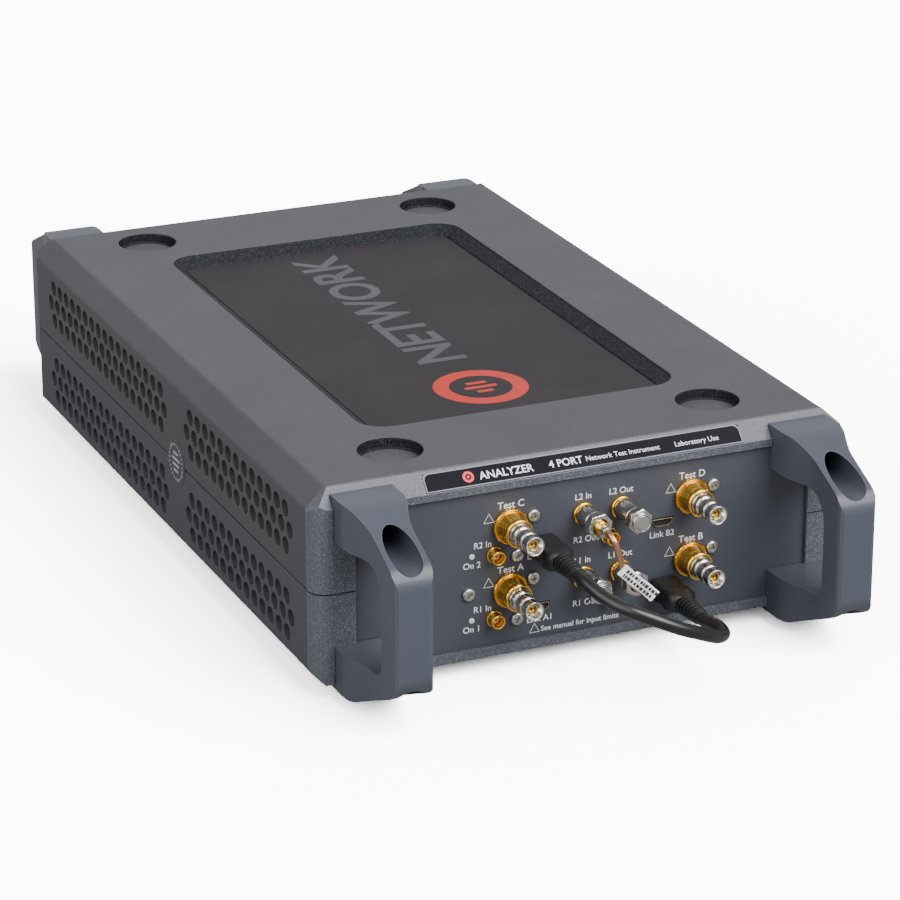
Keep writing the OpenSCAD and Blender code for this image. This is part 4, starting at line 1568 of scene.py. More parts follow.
@dataclass
class Couplings(Maker):
    """Coupling nuts of the caps and of the jumper, and the cap loads."""

    flats: float = 8.0
    bore: float = 3.25

    def nut(self, at: Matrix, sleeve: float, face: float, turn: float) -> Object:
        """Makes a coupling nut: plain sleeve, groove and hexagon.

        Args:
            at: Frame of the jack it runs on.
            sleeve: Where the sleeve ends.
            face: Where the hexagon ends.
            turn: Turn of the hexagon in degrees.

        Returns:
            The nut.
        """
        profile = [
            (self.bore, 3.0), (3.85, 3.0), (3.85, sleeve - 0.9), (3.6, sleeve - 0.6), (3.6, sleeve + 0.1),
            (self.bore, sleeve + 0.1)
        ]
        ring = self.turned("polished", profile, at, 96)
        head = place(hexagon("head", self.flats, sleeve, face, 2.6, at, turn), [self.shop["polished"]])
        return join("nut", [ring, head])

    def build(self) -> None:
        """Builds and registers nuts and loads."""
        load = [
            (0.0, 9.1), (2.55, 9.1), (2.55, 15.2), (3.3, 15.3), (3.4, 15.6), (3.4, 16.3), (3.2, 16.55),
            (2.85, 16.55), (2.75, 16.3), (2.6, 16.3), (2.5, 16.5), (0.3, 16.52), (0.0, 16.4),
        ]
        caps = (
            ("lo2_out", LO_X[1], ROW_Z[1], Body.CAP_TOP, Body.CAP_NUT_TOP, 17.0),
            ("lo1_in", LO_X[0], ROW_Z[0], Body.CAP_BOTTOM, Body.CAP_NUT_BOTTOM, 41.0)
        )
        for tag, x, z, body, nut_body, turn in caps:
            at = on_front(x, z)
            self.shop.add(
                self.nut(at, 12.0, 15.2, turn), f"cap_coupling_{tag}", Slot.POLISHED, [f"cap_nut_{tag}"],
                body=nut_body
            )
            made = self.turned("polished", load, at, 72)
            self.shop.add(made, f"cap_plug_{tag}", Slot.POLISHED, [f"cap_load_{tag}"], body=body)
        nuts = (
            ("lo2_in", LO_X[0], ROW_Z[1], Body.NUT_TOP, 8.0),
            ("lo1_out", LO_X[1], ROW_Z[0], Body.NUT_BOTTOM, 33.0)
        )
        for tag, x, z, body, turn in nuts:
            made = self.nut(on_front(x, z), 10.2, 13.7, turn)
            self.shop.add(made, f"jumper_coupling_{tag}", Slot.POLISHED, [f"jumper_nut_{tag}"], body=body)


def smooth_path(points: Sequence[Point], steps: int) -> list[Vector]:
    """Runs a smooth curve through points.

    Args:
        points: The points.
        steps: Points added between two of them.

    Returns:
        The path.
    """
    knots = [Vector(p) for p in points]
    knots = [knots[0] * 2 - knots[1]] + knots + [knots[-1] * 2 - knots[-2]]
    out: list[Vector] = []
    for a, b, c, d in zip(knots, knots[1:], knots[2:], knots[3:]):
        for k in range(steps):
            t = k / steps
            slope, bend, twist = c - a, 2 * a - 5 * b + 4 * c - d, 3 * b - a - 3 * c + d
            out.append(0.5 * (2 * b + slope * t + bend * t**2 + twist * t**3))
    out.append(knots[-2])
    return out


def tube(name: str, path: Sequence[Vector], radius: float, sides: int) -> Object:
    """Makes a round tube along a path without twist.

    Args:
        name: Name of the object.
        path: Middle line.
        radius: Radius of the tube.
        sides: Sides of the tube.

    Returns:
        The object, not linked yet.
    """
    tangents = [
        (path[min(i + 1, len(path) - 1)] - path[max(i - 1, 0)]).normalized() for i in range(len(path))
    ]
    side = tangents[0].orthogonal().normalized()
    rings: list[list[Point]] = []
    for point, tangent in zip(path, tangents):
        side = (side - tangent * side.dot(tangent)).normalized()
        other = tangent.cross(side)
        turns = [FULL_TURN * k / sides for k in range(sides)]
        rings.append([tuple(point + radius * (side * math.cos(t) + other * math.sin(t))) for t in turns])
    return loft(name, rings)


def from_route(route_mm: Sequence[Point]) -> list[Point]:
    """Turns x, reach in front of the panel and height above the case bottom into points."""
    return [(x * MM, Y_PANEL - u * MM, FOOT_H + z * MM) for x, u, z in route_mm]


@dataclass
class Jumper(Maker):
    """The semi-rigid jumper with its ferrules and flag label."""

    route: tuple[Point, ...] = (
        (-1, 10, 49), (-1, 19, 49), (-0.6, 22, 47.8), (0.2, 23, 45.5), (1.2, 23, 42.5), (2.4, 22.6, 39),
        (4, 22.2, 35.5), (6, 21.8, 31.8), (8.5, 21.2, 28.6), (11, 20, 26.6), (12.6, 18, 26), (13, 16, 26),
        (13, 10, 26),
    )
    radius: float = 1.1 * MM

    def build(self) -> None:
        """Builds and registers the jumper."""
        line = place(
            tube("line", smooth_path(from_route(self.route), 6), self.radius, 20), [self.shop["coax"]]
        )
        self.shop.add(line, "jumper_line", Slot.COAX, ["jumper_coax"], body=Body.JUMPER, angle=60.0)
        profile = [(1.15, 9.0), (2.55, 9.05), (2.55, 9.9), (2.28, 10.1), (2.28, 13.2)]
        for k in range(3):
            base = 13.3 + 0.62 * k
            profile += [(2.05, base), (2.25, base + 0.2), (2.25, base + 0.42)]
        profile += [(1.95, 15.2), (1.5, 16.0), (1.15, 16.0)]
        collar = [(1.12, 15.9), (1.55, 16.0), (1.6, 16.3), (1.6, 18.4), (1.4, 18.7), (1.12, 18.7)]
        rings = self.turned("polished", collar, on_front(LO_X[0], ROW_Z[1]), 48, 0.05)
        jacks = ((LO_X[0], ROW_Z[1]), (LO_X[1], ROW_Z[0]))
        ends = [self.turned("gold", profile, on_front(x, z), 64, 0.05) for x, z in jacks]
        self.shop.add(
            join("ferrules", ends + [rings]), "jumper_end_ferrules", Slot.GOLD, ["jumper_ferrules"],
            body=Body.JUMPER
        )
        self.shop.add(self.flag(), "jumper_flag", Slot.FLAG, ["jumper_label"], body=Body.JUMPER, angle=40.0)

    def flag(self) -> Object:
        """Makes the folded white flag with a few dark bars on it.

        Returns:
            The flag.
        """
        turn = Matrix.Rotation(math.radians(-26), 4, "Z") @ Matrix.Rotation(math.radians(40), 4, "Y")
        at = Matrix.Translation((7.2 * MM, Y_PANEL - 25.5 * MM, FOOT_H + 32.2 * MM)) @ turn
        paper: list[Object] = []
        rings: list[list[Point]] = []
        for i in range(17):
            x = (-7.4 + 14.8 * i / 16) * MM
            wave = 0.18 * MM * math.sin(i * 0.7)
            thick = 0.16 * MM + 0.1 * MM * math.exp(-i / 3)
            rings.append(
                [(x, wave + sy * thick, sz * 2.15 * MM) for sy, sz in ((-1, -1), (1, -1), (1, 1), (-1, 1))]
            )
        paper.append(place(loft("paper", rings, at), [self.shop["flag"]]))
        rng = random.Random(11)
        facing = at @ Matrix.Rotation(math.radians(90), 4, "X")
        for low in (0.35, -1.55):
            x = -5.6
            while x < 6.6:
                width = rng.choice((0.5, 0.8, 1.1))
                outline = rectangle((x, x + width), (low, low + 1.15))
                paper.append(self.plate("ink", outline, 0.2 * MM, 0.38 * MM, facing))
                x += width + rng.choice((0.35, 0.5))
        return join("flag", paper)


@dataclass
class ControlLead(Maker):
    """The short control lead between the upper left and the lower right socket.

    Attributes:
        route: Route in x, reach in front of the panel and height above the case bottom, in millimetres.
        diameter: Diameter of the jacket.
    """

    route: tuple[Point, ...] = (
        (-17, 30, 40.7), (-16.6, 33.5, 40.2), (-15.4, 37.5, 38.8), (-13.4, 42, 37.1), (-10.5, 46.8, 35.6),
        (-6, 51, 33.8), (0, 54, 31.4), (6.5, 55.4, 28.4), (12.5, 55.4, 25.8), (18, 54.2, 23.3),
        (22.8, 52, 20.9), (26.4, 49, 19.4), (28.6, 45.6, 18.8), (29.4, 42, 18.6), (29.4, 38.5, 18.5),
        (29, 35.5, 18.2), (28.6, 33, 17.8), (28.6, 30, 17.7),
    )
    diameter: float = 4.6 * MM

    def build(self) -> None:
        """Builds and registers the lead and its plugs."""
        knots = from_route(self.route)
        path = smooth_path(knots, 8)
        lead = place(tube("lead", path, self.diameter / 2, 28), [self.shop["jacket"]])
        self.shop.add(lead, "control_lead_jacket", Slot.JACKET, ["control_cable"], body=Body.LEAD, angle=60.0)
        for tag, x, z in (("s2", CTRL_X[0], ROW_Z[1]), ("m1", CTRL_X[1], ROW_Z[0])):
            self.plug(tag, on_front(x, z - CTRL_DROP))

    def plug(self, tag: str, at: Matrix) -> Object:
        """Builds and registers one plug with its ribbed strain relief.

        Args:
            tag: Which plug.
            at: Frame of its socket.

        Returns:
            The plug.
        """
        stations = (
            (1.0, 9.4, 6.4, 1.6), (1.4, 10.2, 7.2, 1.9), (2.4, 10.5, 7.5, 2.0), (5.0, 10.5, 7.5, 2.0),
            (6.0, 9.9, 7.1, 2.0), (11.0, 9.7, 7.0, 2.0), (12.0, 10.5, 7.5, 2.0), (15.6, 10.3, 7.3, 2.2),
            (17.2, 8.6, 6.6, 2.6), (17.9, 6.8, 6.0, 2.8),
        )
        rings = [
            [(x, y, u * MM) for x, y in round_rect(w * MM, h * MM, r * MM, 7)] for u, w, h, r in stations
        ]
        body = place(loft("body", rings, at), [self.shop["plastic"]])
        tip_outline = [(-3.2, 1.0), (3.2, 1.0), (3.2, -0.2), (2.1, -0.9), (-2.1, -0.9), (-3.2, -0.2)]
        tip = extrude("tip", [(x * MM, y * MM) for x, y in reversed(tip_outline)], -3.6 * MM, 1.1 * MM, at)
        place(tip, [self.shop["shell"]])
        core = [(0.0, 17.6), (2.75, 17.6), (2.5, 29.9), (2.32, 30.0), (0.0, 30.0)]
        relief = self.turned("plastic", core, at, 40)
        ribs = [self.rib(at, k) for k in range(6)]
        made = join("plug", [body, tip, relief] + ribs)
        name = f"control_lead_plug_{tag}"
        return self.shop.add(made, name, Slot.PLASTIC, [f"control_plug_{tag}"], body=Body.LEAD, angle=35.0)

    def rib(self, at: Matrix, index: int) -> Object:
        """Makes one rib of a strain relief.

        Args:
            at: Frame of the socket.
            index: Which rib, from the plug's body.

        Returns:
            The rib.
        """
        base, radius = 18.7 + 1.85 * index, 3.55 - 0.14 * index
        profile = [(2.0, base), (radius, base + 0.1), (radius, base + 1.0), (2.0, base + 1.1)]
        return self.turned("plastic", profile, at, 40)


@dataclass
class SmallParts(Maker):
    """Reference jacks, control sockets, lights, screws and feet."""

    front_screws: tuple[Flat, ...] = (
        (-19.3, 51.2), (-19.3, 28.8), (47.5, 51.5), (47.5, 28.8), (-25.2, 38), (-25.2, 15), (-42.8, 26.7),
    )
    rear_screws: tuple[Flat, ...] = ((-62, 52), (-62, 17), (62, 52), (62, 17), (0, 17))

    def build(self) -> None:
        """Builds and registers the small parts."""
        jacks, sockets, lights = [], [], []
        for z in ROW_Z:
            jacks += [self.ref_jack(on_front(x, z - REF_DROP)) for x in REF_X]
            sockets += [self.socket(on_front(x, z - CTRL_DROP)) for x in CTRL_X]
            dome = [(0.0, -3.4), (1.0, -3.4), (1.0, 0.0), (0.85, 0.25), (0.5, 0.36), (0.0, 0.4)]
            lights.append(self.turned("lens", dome, on_front(LIGHT_X, z - LIGHT_DROP), 32, 0.02))
        self.shop.add(join("jacks", jacks), "push_on_jacks", Slot.GOLD, ["ref_jacks"])
        self.shop.add(join("sockets", sockets), "control_socket_shells", Slot.SHELL, ["ctrl_sockets"])
        self.shop.add(join("lights", lights), "status_lenses", Slot.LENS, ["status_lights"], angle=50.0)
        self.screws()
        self.feet()

    def ref_jack(self, at: Matrix) -> Object:
        """Makes one push-on jack.

        Args:
            at: Its frame on the panel.

        Returns:
            The jack.
        """
        profile = [
            (0.0, 0.6), (1.85, 0.6), (1.8, 3.6), (1.95, 4.3), (2.3, 4.4), (2.5, 4.15), (2.5, 0.9),
            (2.85, 0.8), (2.9, 0.0), (2.15, 0.0), (2.15, -3.4), (0.0, -3.4),
        ]
        body = self.turned("gold", profile, at, 56, 0.06)
        bead = self.turned("dielectric", [(0.0, 0.5), (1.2, 0.5), (1.2, 1.7), (0.0, 1.7)], at, 32)
        pin = self.turned("gold", [(0.0, 1.0), (0.4, 1.0), (0.4, 3.1), (0.2, 3.4), (0.0, 3.4)], at, 20, 0.03)
        return join("jack", [body, bead, pin])

    def socket(self, at: Matrix) -> Object:
        """Makes one control socket: formed shell, contact tongue and dark back.

        Args:
            at: Its frame on the panel.

        Returns:
            The socket.
        """

        def outline(grow: float) -> list[Flat]:
            """Socket outline with slightly rounded corners."""
            w, h = 3.75 + grow, 1.45 + grow
            corners = [(w, h), (-w, h), (-w, -0.2), (1.3 - w, -h), (w - 1.3, -h), (w, -0.2)]
            out: list[Flat] = []
            for i, here in enumerate(corners):
                a, b, c = Vector(corners[i - 1]), Vector(here), Vector(corners[(i + 1) % 6])
                for t in (0.0, 0.5, 1.0):
                    first, last = b + (a - b).normalized() * 0.3, b + (c - b).normalized() * 0.3
                    point = first * (1 - t) ** 2 + b * 2 * t * (1 - t) + last * t**2
                    out.append((point.x * MM, point.y * MM))
            return out

        levels = ((0.0, -5.3), (0.0, 0.2), (-0.08, 0.35), (-0.25, 0.3), (-0.32, 0.1), (-0.32, -5.3))
        rings = [[(x, y, u * MM) for x, y in outline(grow)] for grow, u in levels]
        shell = place(loft("shell", rings, at, closed=True), [self.shop["shell"]])
        back = self.plate("dark_bore", outline(-0.3), -5.2 * MM, -4.6 * MM, at)
        gap = self.plate("dark_bore", outline(0.3), -1.0 * MM, -0.5 * MM, at)
        blade = self.plate("chip", rectangle((-2.5, 2.5), (0.1, 0.65)), -4.8 * MM, -0.6 * MM, at)
        return join("socket", [shell, back, gap, blade])

    def cross_head(self, radius: float, height: float, shank: float) -> Object:
        """Makes a pan-head screw with a cross recess, standing on z = 0.

        Args:
            radius: Radius of the head in millimetres.
            height: Height of the head.
            shank: Length of the shank below.

        Returns:
            The screw, linked.
        """
        profile = [
            (0.0, -shank), (radius * 0.52, -shank), (radius * 0.54, 0.0), (radius, 0.0),
            (radius, height * 0.45)
        ]
        profile += [
            (radius * 0.93, height * 0.75), (radius * 0.78, height * 0.93), (radius * 0.5, height),
            (0.0, height)
        ]
        head = lathe("head", profile, Matrix.Identity(4), 40, 0.06)
        arm, half = radius * 0.56, radius * 0.13
        plus = [(half, half), (half, arm), (-half, arm)]
        for _ in range(3):
            plus += [(-y, x) for x, y in plus[-3:]]
        rings = []
        for z, k in ((height - 1.0, 0.45), (height - 0.3, 0.85), (height + 0.3, 1.12)):
            rings.append([(x * k * MM, y * k * MM, z * MM) for x, y in plus])
        tool = loft("tool", rings)
        made = link(carve(head, [tool], "screw"))
        return place(made, [self.shop["steel"]], 30.0)

    def screws(self) -> None:
        """Builds and registers panel, handle and case screws."""
        small = self.cross_head(2.3, 1.5, 5.5)
        front = [(x * MM, Y_PANEL, FOOT_H + z * MM) for x, z in self.front_screws]
        rear = [(x * MM, Y_PANEL_BACK, FOOT_H + z * MM) for x, z in self.rear_screws]
        made = [
            self.repeat(small, "steel", front, math.pi / 2, 5),
            self.repeat(small, "steel", rear, -math.pi / 2, 8),
        ]
        drop(small)
        self.shop.add(join("screws", made), "panel_screw_heads", Slot.STEEL, ["panel_screws"])
        case = self.cross_head(3.0, 1.9, 56.0)
        under = [
            (s * 86 * MM, y, FOOT_H + 2.3 * MM)
            for s in (-1, 1) for y in (Y_COVER + 14 * MM, Y_REAR - 14 * MM)
        ]
        held = self.repeat(case, "steel", under, math.pi, 3)
        drop(case)
        self.shop.add(held, "case_screw_heads", Slot.STEEL, ["case_screws"])
        self.handle_screws()

    def handle_screws(self) -> None:
        """Builds and registers the socket-head screws in the handle wells."""
        profile = [(0.0, -11.5), (1.9, -11.5), (2.0, 0.0), (3.5, 0.0), (3.5, 3.7), (3.2, 4.0), (0.0, 4.0)]
        head = lathe("head", profile, Matrix.Identity(4), 48, 0.1)
        tool = extrude("tool", arc((0, 0), 1.73 * MM, 0, 300, 5), 1.8 * MM, 6 * MM)
        master = link(carve(head, [tool], "socket_screw"))
        place(master, [self.shop["black_steel"]], 30.0)
        made = []
        for y, tilt, seed in ((Y_FACE - 2 * MM, math.pi / 2, 2), (Y_BACK + 2 * MM, -math.pi / 2, 4)):
            spots = [(s * HANDLE_X, y, Z_MID + v * WELL_V) for s in (-1, 1) for v in (-1, 1)]
            made.append(self.repeat(master, "black_steel", spots, tilt, seed))
        drop(master)
        self.shop.add(join("screws", made), "handle_cap_screws", Slot.BLACK_STEEL, ["handle_screws"])

    def feet(self) -> None:
        """Builds and registers the rubber feet."""
        profile = [
            (0.0, 1.2), (3.4, 1.2), (4.4, 0.0), (9.0, 0.0), (9.8, 0.6), (10.0, 1.4), (10.0, 3.0), (2.5, 3.0),
            (2.5, 6.9), (0.0, 6.9)
        ]
        foot = lathe("foot", profile, Matrix.Identity(4), 56, 0.25)
        link(foot)
        place(foot, [self.shop["rubber"]])
        spots = [(s * STACK_X, y, 0.0) for s in (-1, 1) for y in STACK_Y]
        made = self.repeat(foot, "rubber", spots, 0.0, 6)
        drop(foot)
        self.shop.add(made, "round_feet", Slot.RUBBER, ["rubber_feet"], angle=35.0)


@dataclass
class Prints(Maker):
    """Everything printed or stuck on: legends, strip, top film and seals.

    Attributes:
        port_text: Size of the port legends in millimetres.
        small_text: Size of the other legends.
    """

    port_text: float = 3.5
    small_text: float = 3.1

    def ink(self, text: str, x: float, z: float, size: float, align: str = "CENTER") -> Object:
        """Makes one legend on the front panel.

        Args:
            text: What is written.
            x: Place along X in millimetres.
            z: Height in the frame in millimetres.
            size: Size in millimetres.
            align: Alignment.

        Returns:
            The legend.
        """
        return lettering(text, size, on_front(x * MM, z * MM), self.shop["legend"], align, 0.006)

    def triangle(self, at: Matrix, size: float) -> Object:
        """Makes an outlined triangle.

        Args:
            at: Its frame.
            size: Height in millimetres.

        Returns:
            The triangle.
        """
        points = [(size * x * MM, size * y * MM) for x, y in ((0.0, 0.62), (-0.56, -0.38), (0.56, -0.38))]
        return stroke(points, 0.22 * MM, at, self.shop["legend"])

    def panel(self) -> None:
        """Builds and registers the front panel's legends."""
        parts: list[Object] = []
        for row, z in enumerate(ROW_Z):
            base = z / MM
            for side, x in enumerate(PORT_X):
                parts.append(
                    self.ink("Test %s" % "ABCD"[2 * row + side], x / MM + 0.6, base + 7.2, self.port_text)
                )
                parts.append(self.triangle(on_front(x - 7.4 * MM, z + 3.2 * MM), 3.2))
            for side, x in zip(("In", "Out"), LO_X):
                parts.append(self.ink("L%d %s" % (row + 1, side), x / MM, base + 5.8, self.small_text))
            parts.append(self.ink("R%d In" % (row + 1), -37.6, base - 5.6, self.small_text))
            parts.append(self.ink("R%d Out" % (row + 1), 0.2, base - 9.6, self.small_text))
            parts.append(self.ink("On %d" % (row + 1), LIGHT_X / MM, base - 12.4, self.small_text))
            parts.append(self.ink("Link A%d" % (row + 1), CTRL_X[0] / MM + 0.4, base - 12.6, self.small_text))
            parts.append(self.ink("Link B%d" % (row + 1), CTRL_X[1] / MM, base - 12.6, self.small_text))
        parts.append(self.triangle(on_front(-18.5 * MM, 12.9 * MM), 3.2))
        parts.append(self.ink("See manual for input limits", -16.2, 12.5, 2.7, "LEFT"))
        self.shop.add(join("legends", parts), "front_legends", Slot.PANEL, angle=60.0)

    def strip(self) -> None:
        """Builds and registers the strip on the slope, with its edge line and words."""
        slope = Matrix.Rotation(math.radians(45), 4, "X")
        centre = (Vector((0, -141.5, 73.15)) + Vector((0, -146.1, 68.55))) * 0.5 * MM + Vector(
            (0, -0.16, 0.16)
        ) * MM
        at = Matrix.Translation(centre) @ slope
        width, height = 116 * MM, 6.8 * MM

        def outline(grow: float) -> list[Flat]:
            """Strip outline with rounded upper corners."""
            w, h, r = width / 2 + grow, height / 2 + grow, 2.2 * MM
            return [(-w, -h), (w, -h)] + arc((w - r, h - r), r, 0, 90, 6) + arc((r - w, h - r), r, 90, 180, 6)

        plate = self.plate("strip", outline(-0.35 * MM), -0.5 * MM, 0.05 * MM, at)
        edge = self.plate("strip_edge", outline(0.0), -0.55 * MM, 0.02 * MM, at)
        lift = at @ Matrix.Translation((0, 0, 0.06 * MM))

        def word(text: str, x: float, size: float, weight: float = 0.0) -> Object:
            """One word on the strip."""
            return lettering(
                text, size, lift @ Matrix.Translation((x * MM, -0.4 * MM, 0)), self.shop["legend"], "LEFT",
                weight
            )

        words = [
            word("ANALYZER", -38.5, 3.9, 0.012), word("4 PORT", -13.4, 3.7, 0.014),
            word("Network Test Instrument", 0.0, 2.6),
            word("Laboratory Use", 33.0, 2.6),
        ]
        mark = stroke(
            arc((0, 0), 1.55 * MM, 0, 345, 23), 0.7 * MM, lift @ Matrix.Translation((-42.4 * MM, 0, 0)),
            self.shop["mark"]
        )
        dot = self.plate(
            "mark", arc((0, 0), 0.55 * MM, 0, 340, 17), 0, 0.03 * MM,
            lift @ Matrix.Translation((-42.4 * MM, 0, 0))
        )
        made = join("strip", [plate, edge, mark, dot] + words)
        self.shop.add(made, "slope_strip", Slot.STRIP, ["label_strip"], angle=60.0)

    def film(self) -> None:
        """Builds and registers the film in the label recess."""
        floor = Z_TOP - 4 * MM
        outline = round_rect(107.4 * MM, 189.4 * MM, 4.4 * MM, 10, (0, 2.5 * MM))
        base = self.plate("film", outline, floor - 0.05 * MM, floor + 0.35 * MM)
        turn = Matrix.Rotation(math.radians(90), 4, "Z")
        word_at = Matrix.Translation((-3 * MM, 26 * MM, floor + 0.37 * MM)) @ turn
        word = lettering("NETWORK", 26.0, word_at, self.shop["film_word"], "CENTER", 0.02, 0.02, 0.97)
        mark_at = Matrix.Translation((-3 * MM, -66 * MM, floor + 0.37 * MM)) @ turn
        ring = stroke(arc((0, 0), 14 * MM, 0, 354, 59), 4.4 * MM, mark_at, self.shop["film_mark"], 0.00002)
        bars = []
        for x, half in ((-4.2, 3.0), (0.0, 6.0), (4.2, 3.8)):
            outline = rectangle((x - 1.1, x + 1.1), (-half, half))
            bars.append(self.plate("film_mark", outline, 0, 0.02 * MM, mark_at))
        made = join("film", [base, word, ring] + bars)
        self.shop.add(made, "recess_film", Slot.FILM, ["top_label"], angle=60.0)

    def seals(self) -> None:
        """Builds and registers the round seals across the seam."""
        parts = []
        for sign in (-1, 1):
            turn = Matrix(((0, 0, sign, 0), (sign, 0, 0, 0), (0, 1, 0, 0), (0, 0, 0, 1)))
            at = Matrix.Translation((sign * HALF_W, Y_COVER + 125.3 * MM, Z_MID)) @ turn
            parts.append(self.plate("sticker", arc((0, 0), 9 * MM, 0, 354, 59), 0.0, 0.12 * MM, at))
            lift = at @ Matrix.Translation((0, 0, 0.12 * MM))
            rng = random.Random(4)
            for k in range(26):
                angle = FULL_TURN * k / 26
                tick = lift @ Matrix.Rotation(angle, 4, "Z") @ Matrix.Translation((6.6 * MM, 0, 0))
                size = rng.choice((0.35, 0.6))
                parts.append(
                    self.plate("sticker_ink", rectangle((-size, size), (-0.3, 0.3)), 0, THIN_INK, tick)
                )
            for k, half in enumerate((2.4, 3.9, 3.2, 2.2)):
                y = 3.3 - 2.2 * k
                parts.append(
                    self.plate(
                        "sticker_ink", rectangle((-half, half), (y - 0.45, y + 0.45)), 0, THIN_INK, lift
                    )
                )
        self.shop.add(join("seals", parts), "round_seals", Slot.STICKER, ["seal_stickers"], angle=60.0)

    def build(self) -> None:
        """Builds all prints."""
        self.panel()
        self.strip()
        self.film()
        self.seals()


@dataclass
class RearFittings(Maker):
    """Jacks, power inlet, computer socket and ground post on the rear panel, with their legends."""

    jack_x: tuple[float, ...] = (10.0, 26.0, 42.0)
    jack_z: float = 47.0
    inlet: Flat = (-40.0, 37.0)
    host: Flat = (-16.0, 37.0)
    post: Flat = (56.0, 33.0)

    def build(self) -> None:
        """Builds and registers the rear fittings."""
        parts: list[Object] = []
        jack = ThreadedJack(self.shop)
        for x in self.jack_x:
            parts += jack.parts(on_back(x * MM, self.jack_z * MM), True)
        parts += self.power() + self.computer()
        self.shop.add(join("jacks", parts), "rear_sockets", Slot.GOLD, ["rear_jacks"])
        self.ground()
        self.legends()

    def power(self) -> list[Object]:
        """Makes the round power inlet with its centre pin.

        Returns:
            The parts.
        """
        at = on_back(self.inlet[0] * MM, self.inlet[1] * MM)
        body = [
            (4.6, -6.0), (4.6, 1.7), (5.1, 2.2), (7.2, 2.2), (7.6, 1.8), (7.6, 0.0), (6.2, 0.0), (6.2, -8.0),
            (0.0, -8.0), (0.0, -6.0)
        ]
        pin = [(0.0, -6.5), (1.0, -6.5), (1.0, -0.6), (0.7, -0.1), (0.0, -0.1)]
        return [
            self.turned("plastic", body, at, 72),
            self.turned("steel", pin, at, 32),
        ]

    def computer(self) -> list[Object]:
        """Makes the computer socket: oval shell, dark back and tongue.

        Returns:
            The parts.
        """
        at = on_back(self.host[0] * MM, self.host[1] * MM)
        levels = ((0.0, -6.0), (0.0, 0.2), (-0.08, 0.4), (-0.24, 0.4), (-0.3, 0.2), (-0.3, -6.0))
        rings = []
        for grow, u in levels:
            points = round_rect((8.94 + 2 * grow) * MM, (3.26 + 2 * grow) * MM, (1.6 + grow) * MM, 8)
            rings.append([(x, y, u * MM) for x, y in points])
        shell = place(loft("shell", rings, at, closed=True), [self.shop["steel"]])
        back = self.plate("dark_bore", round_rect(8.4 * MM, 2.7 * MM, 1.3 * MM), -5.6 * MM, -5.0 * MM, at)
        tongue = self.plate("chip", round_rect(6.7 * MM, 0.7 * MM, 0.2 * MM, 2), -5.2 * MM, -0.7 * MM, at)
        return [shell, back, tongue]

    def ground(self) -> None:
        """Builds and registers the ground post with its knurled nut."""
        at = on_back(self.post[0] * MM, self.post[1] * MM)
        stud = [(0.0, -4.0), (2.0, -4.0)] + [(2.0, 2.4)] + threads(2.0, 0.2, 2.6, 9.6, 0.7) + [
            (1.6, 10.0), (0.0, 10.0)
        ]
        parts = [
            self.turned("steel", stud, at, 40, 0.03),
            place(hexagon("nut", 6.9, 0.1, 2.4, 2.0, at, 10.0), [self.shop["steel"]]),
        ]
        rings: list[list[Point]] = []
        for u, r, knurl in (
            (3.4, 4.0, 0.0), (3.7, 4.25, 0.12), (7.1, 4.25, 0.12), (7.4, 4.0, 0.0), (7.4, 2.05, 0.0),
            (3.4, 2.05, 0.0)
        ):
            ring = []
            for k in range(120):
                angle = FULL_TURN * k / 120
                radius = (r + (knurl if k % 4 in (0, 1) else -knurl)) * MM
                ring.append((radius * math.cos(angle), radius * math.sin(angle), u * MM))
            rings.append(ring)
        parts.append(place(loft("knurled", rings, at, closed=True), [self.shop["steel"]]))
        self.shop.add(join("post", parts), "ground_stud", Slot.STEEL, ["ground_post"])

    def legends(self) -> None:
        """Builds and registers the rear legends."""
        parts = []
        for x, text in zip(self.jack_x, ("R In", "R Out", "Sync")):
            parts.append(
                lettering(text, 3.1, on_back(x * MM, 55.2 * MM), self.shop["legend"], "CENTER", 0.006)
            )
        for x, z, text in (
            (self.inlet[0], 26.6, "Power"), (self.host[0], 31.4, "Computer"), (self.post[0], 25.4, "Ground"),
            (26.0, 40.4, "10 MHz"),
        ):
            parts.append(lettering(text, 3.1, on_back(x * MM, z * MM), self.shop["legend"], "CENTER", 0.006))
        frame_at = on_back(29 * MM, 21.5 * MM)
        parts.append(stroke(rectangle((-20, 20), (-6, 6)), 0.3 * MM, frame_at, self.shop["legend"]))
        for k, reach in enumerate((32.0, 22.0, 27.0)):
            at = on_back(29 * MM, (24.5 - 3.0 * k) * MM)
            bar = rectangle((-16.5, reach - 16.5), (-0.3, 0.3))
            parts.append(self.plate("legend", bar, 0, THIN_INK, at))
        self.shop.add(join("legends", parts), "rear_legends", Slot.PANEL, angle=60.0)


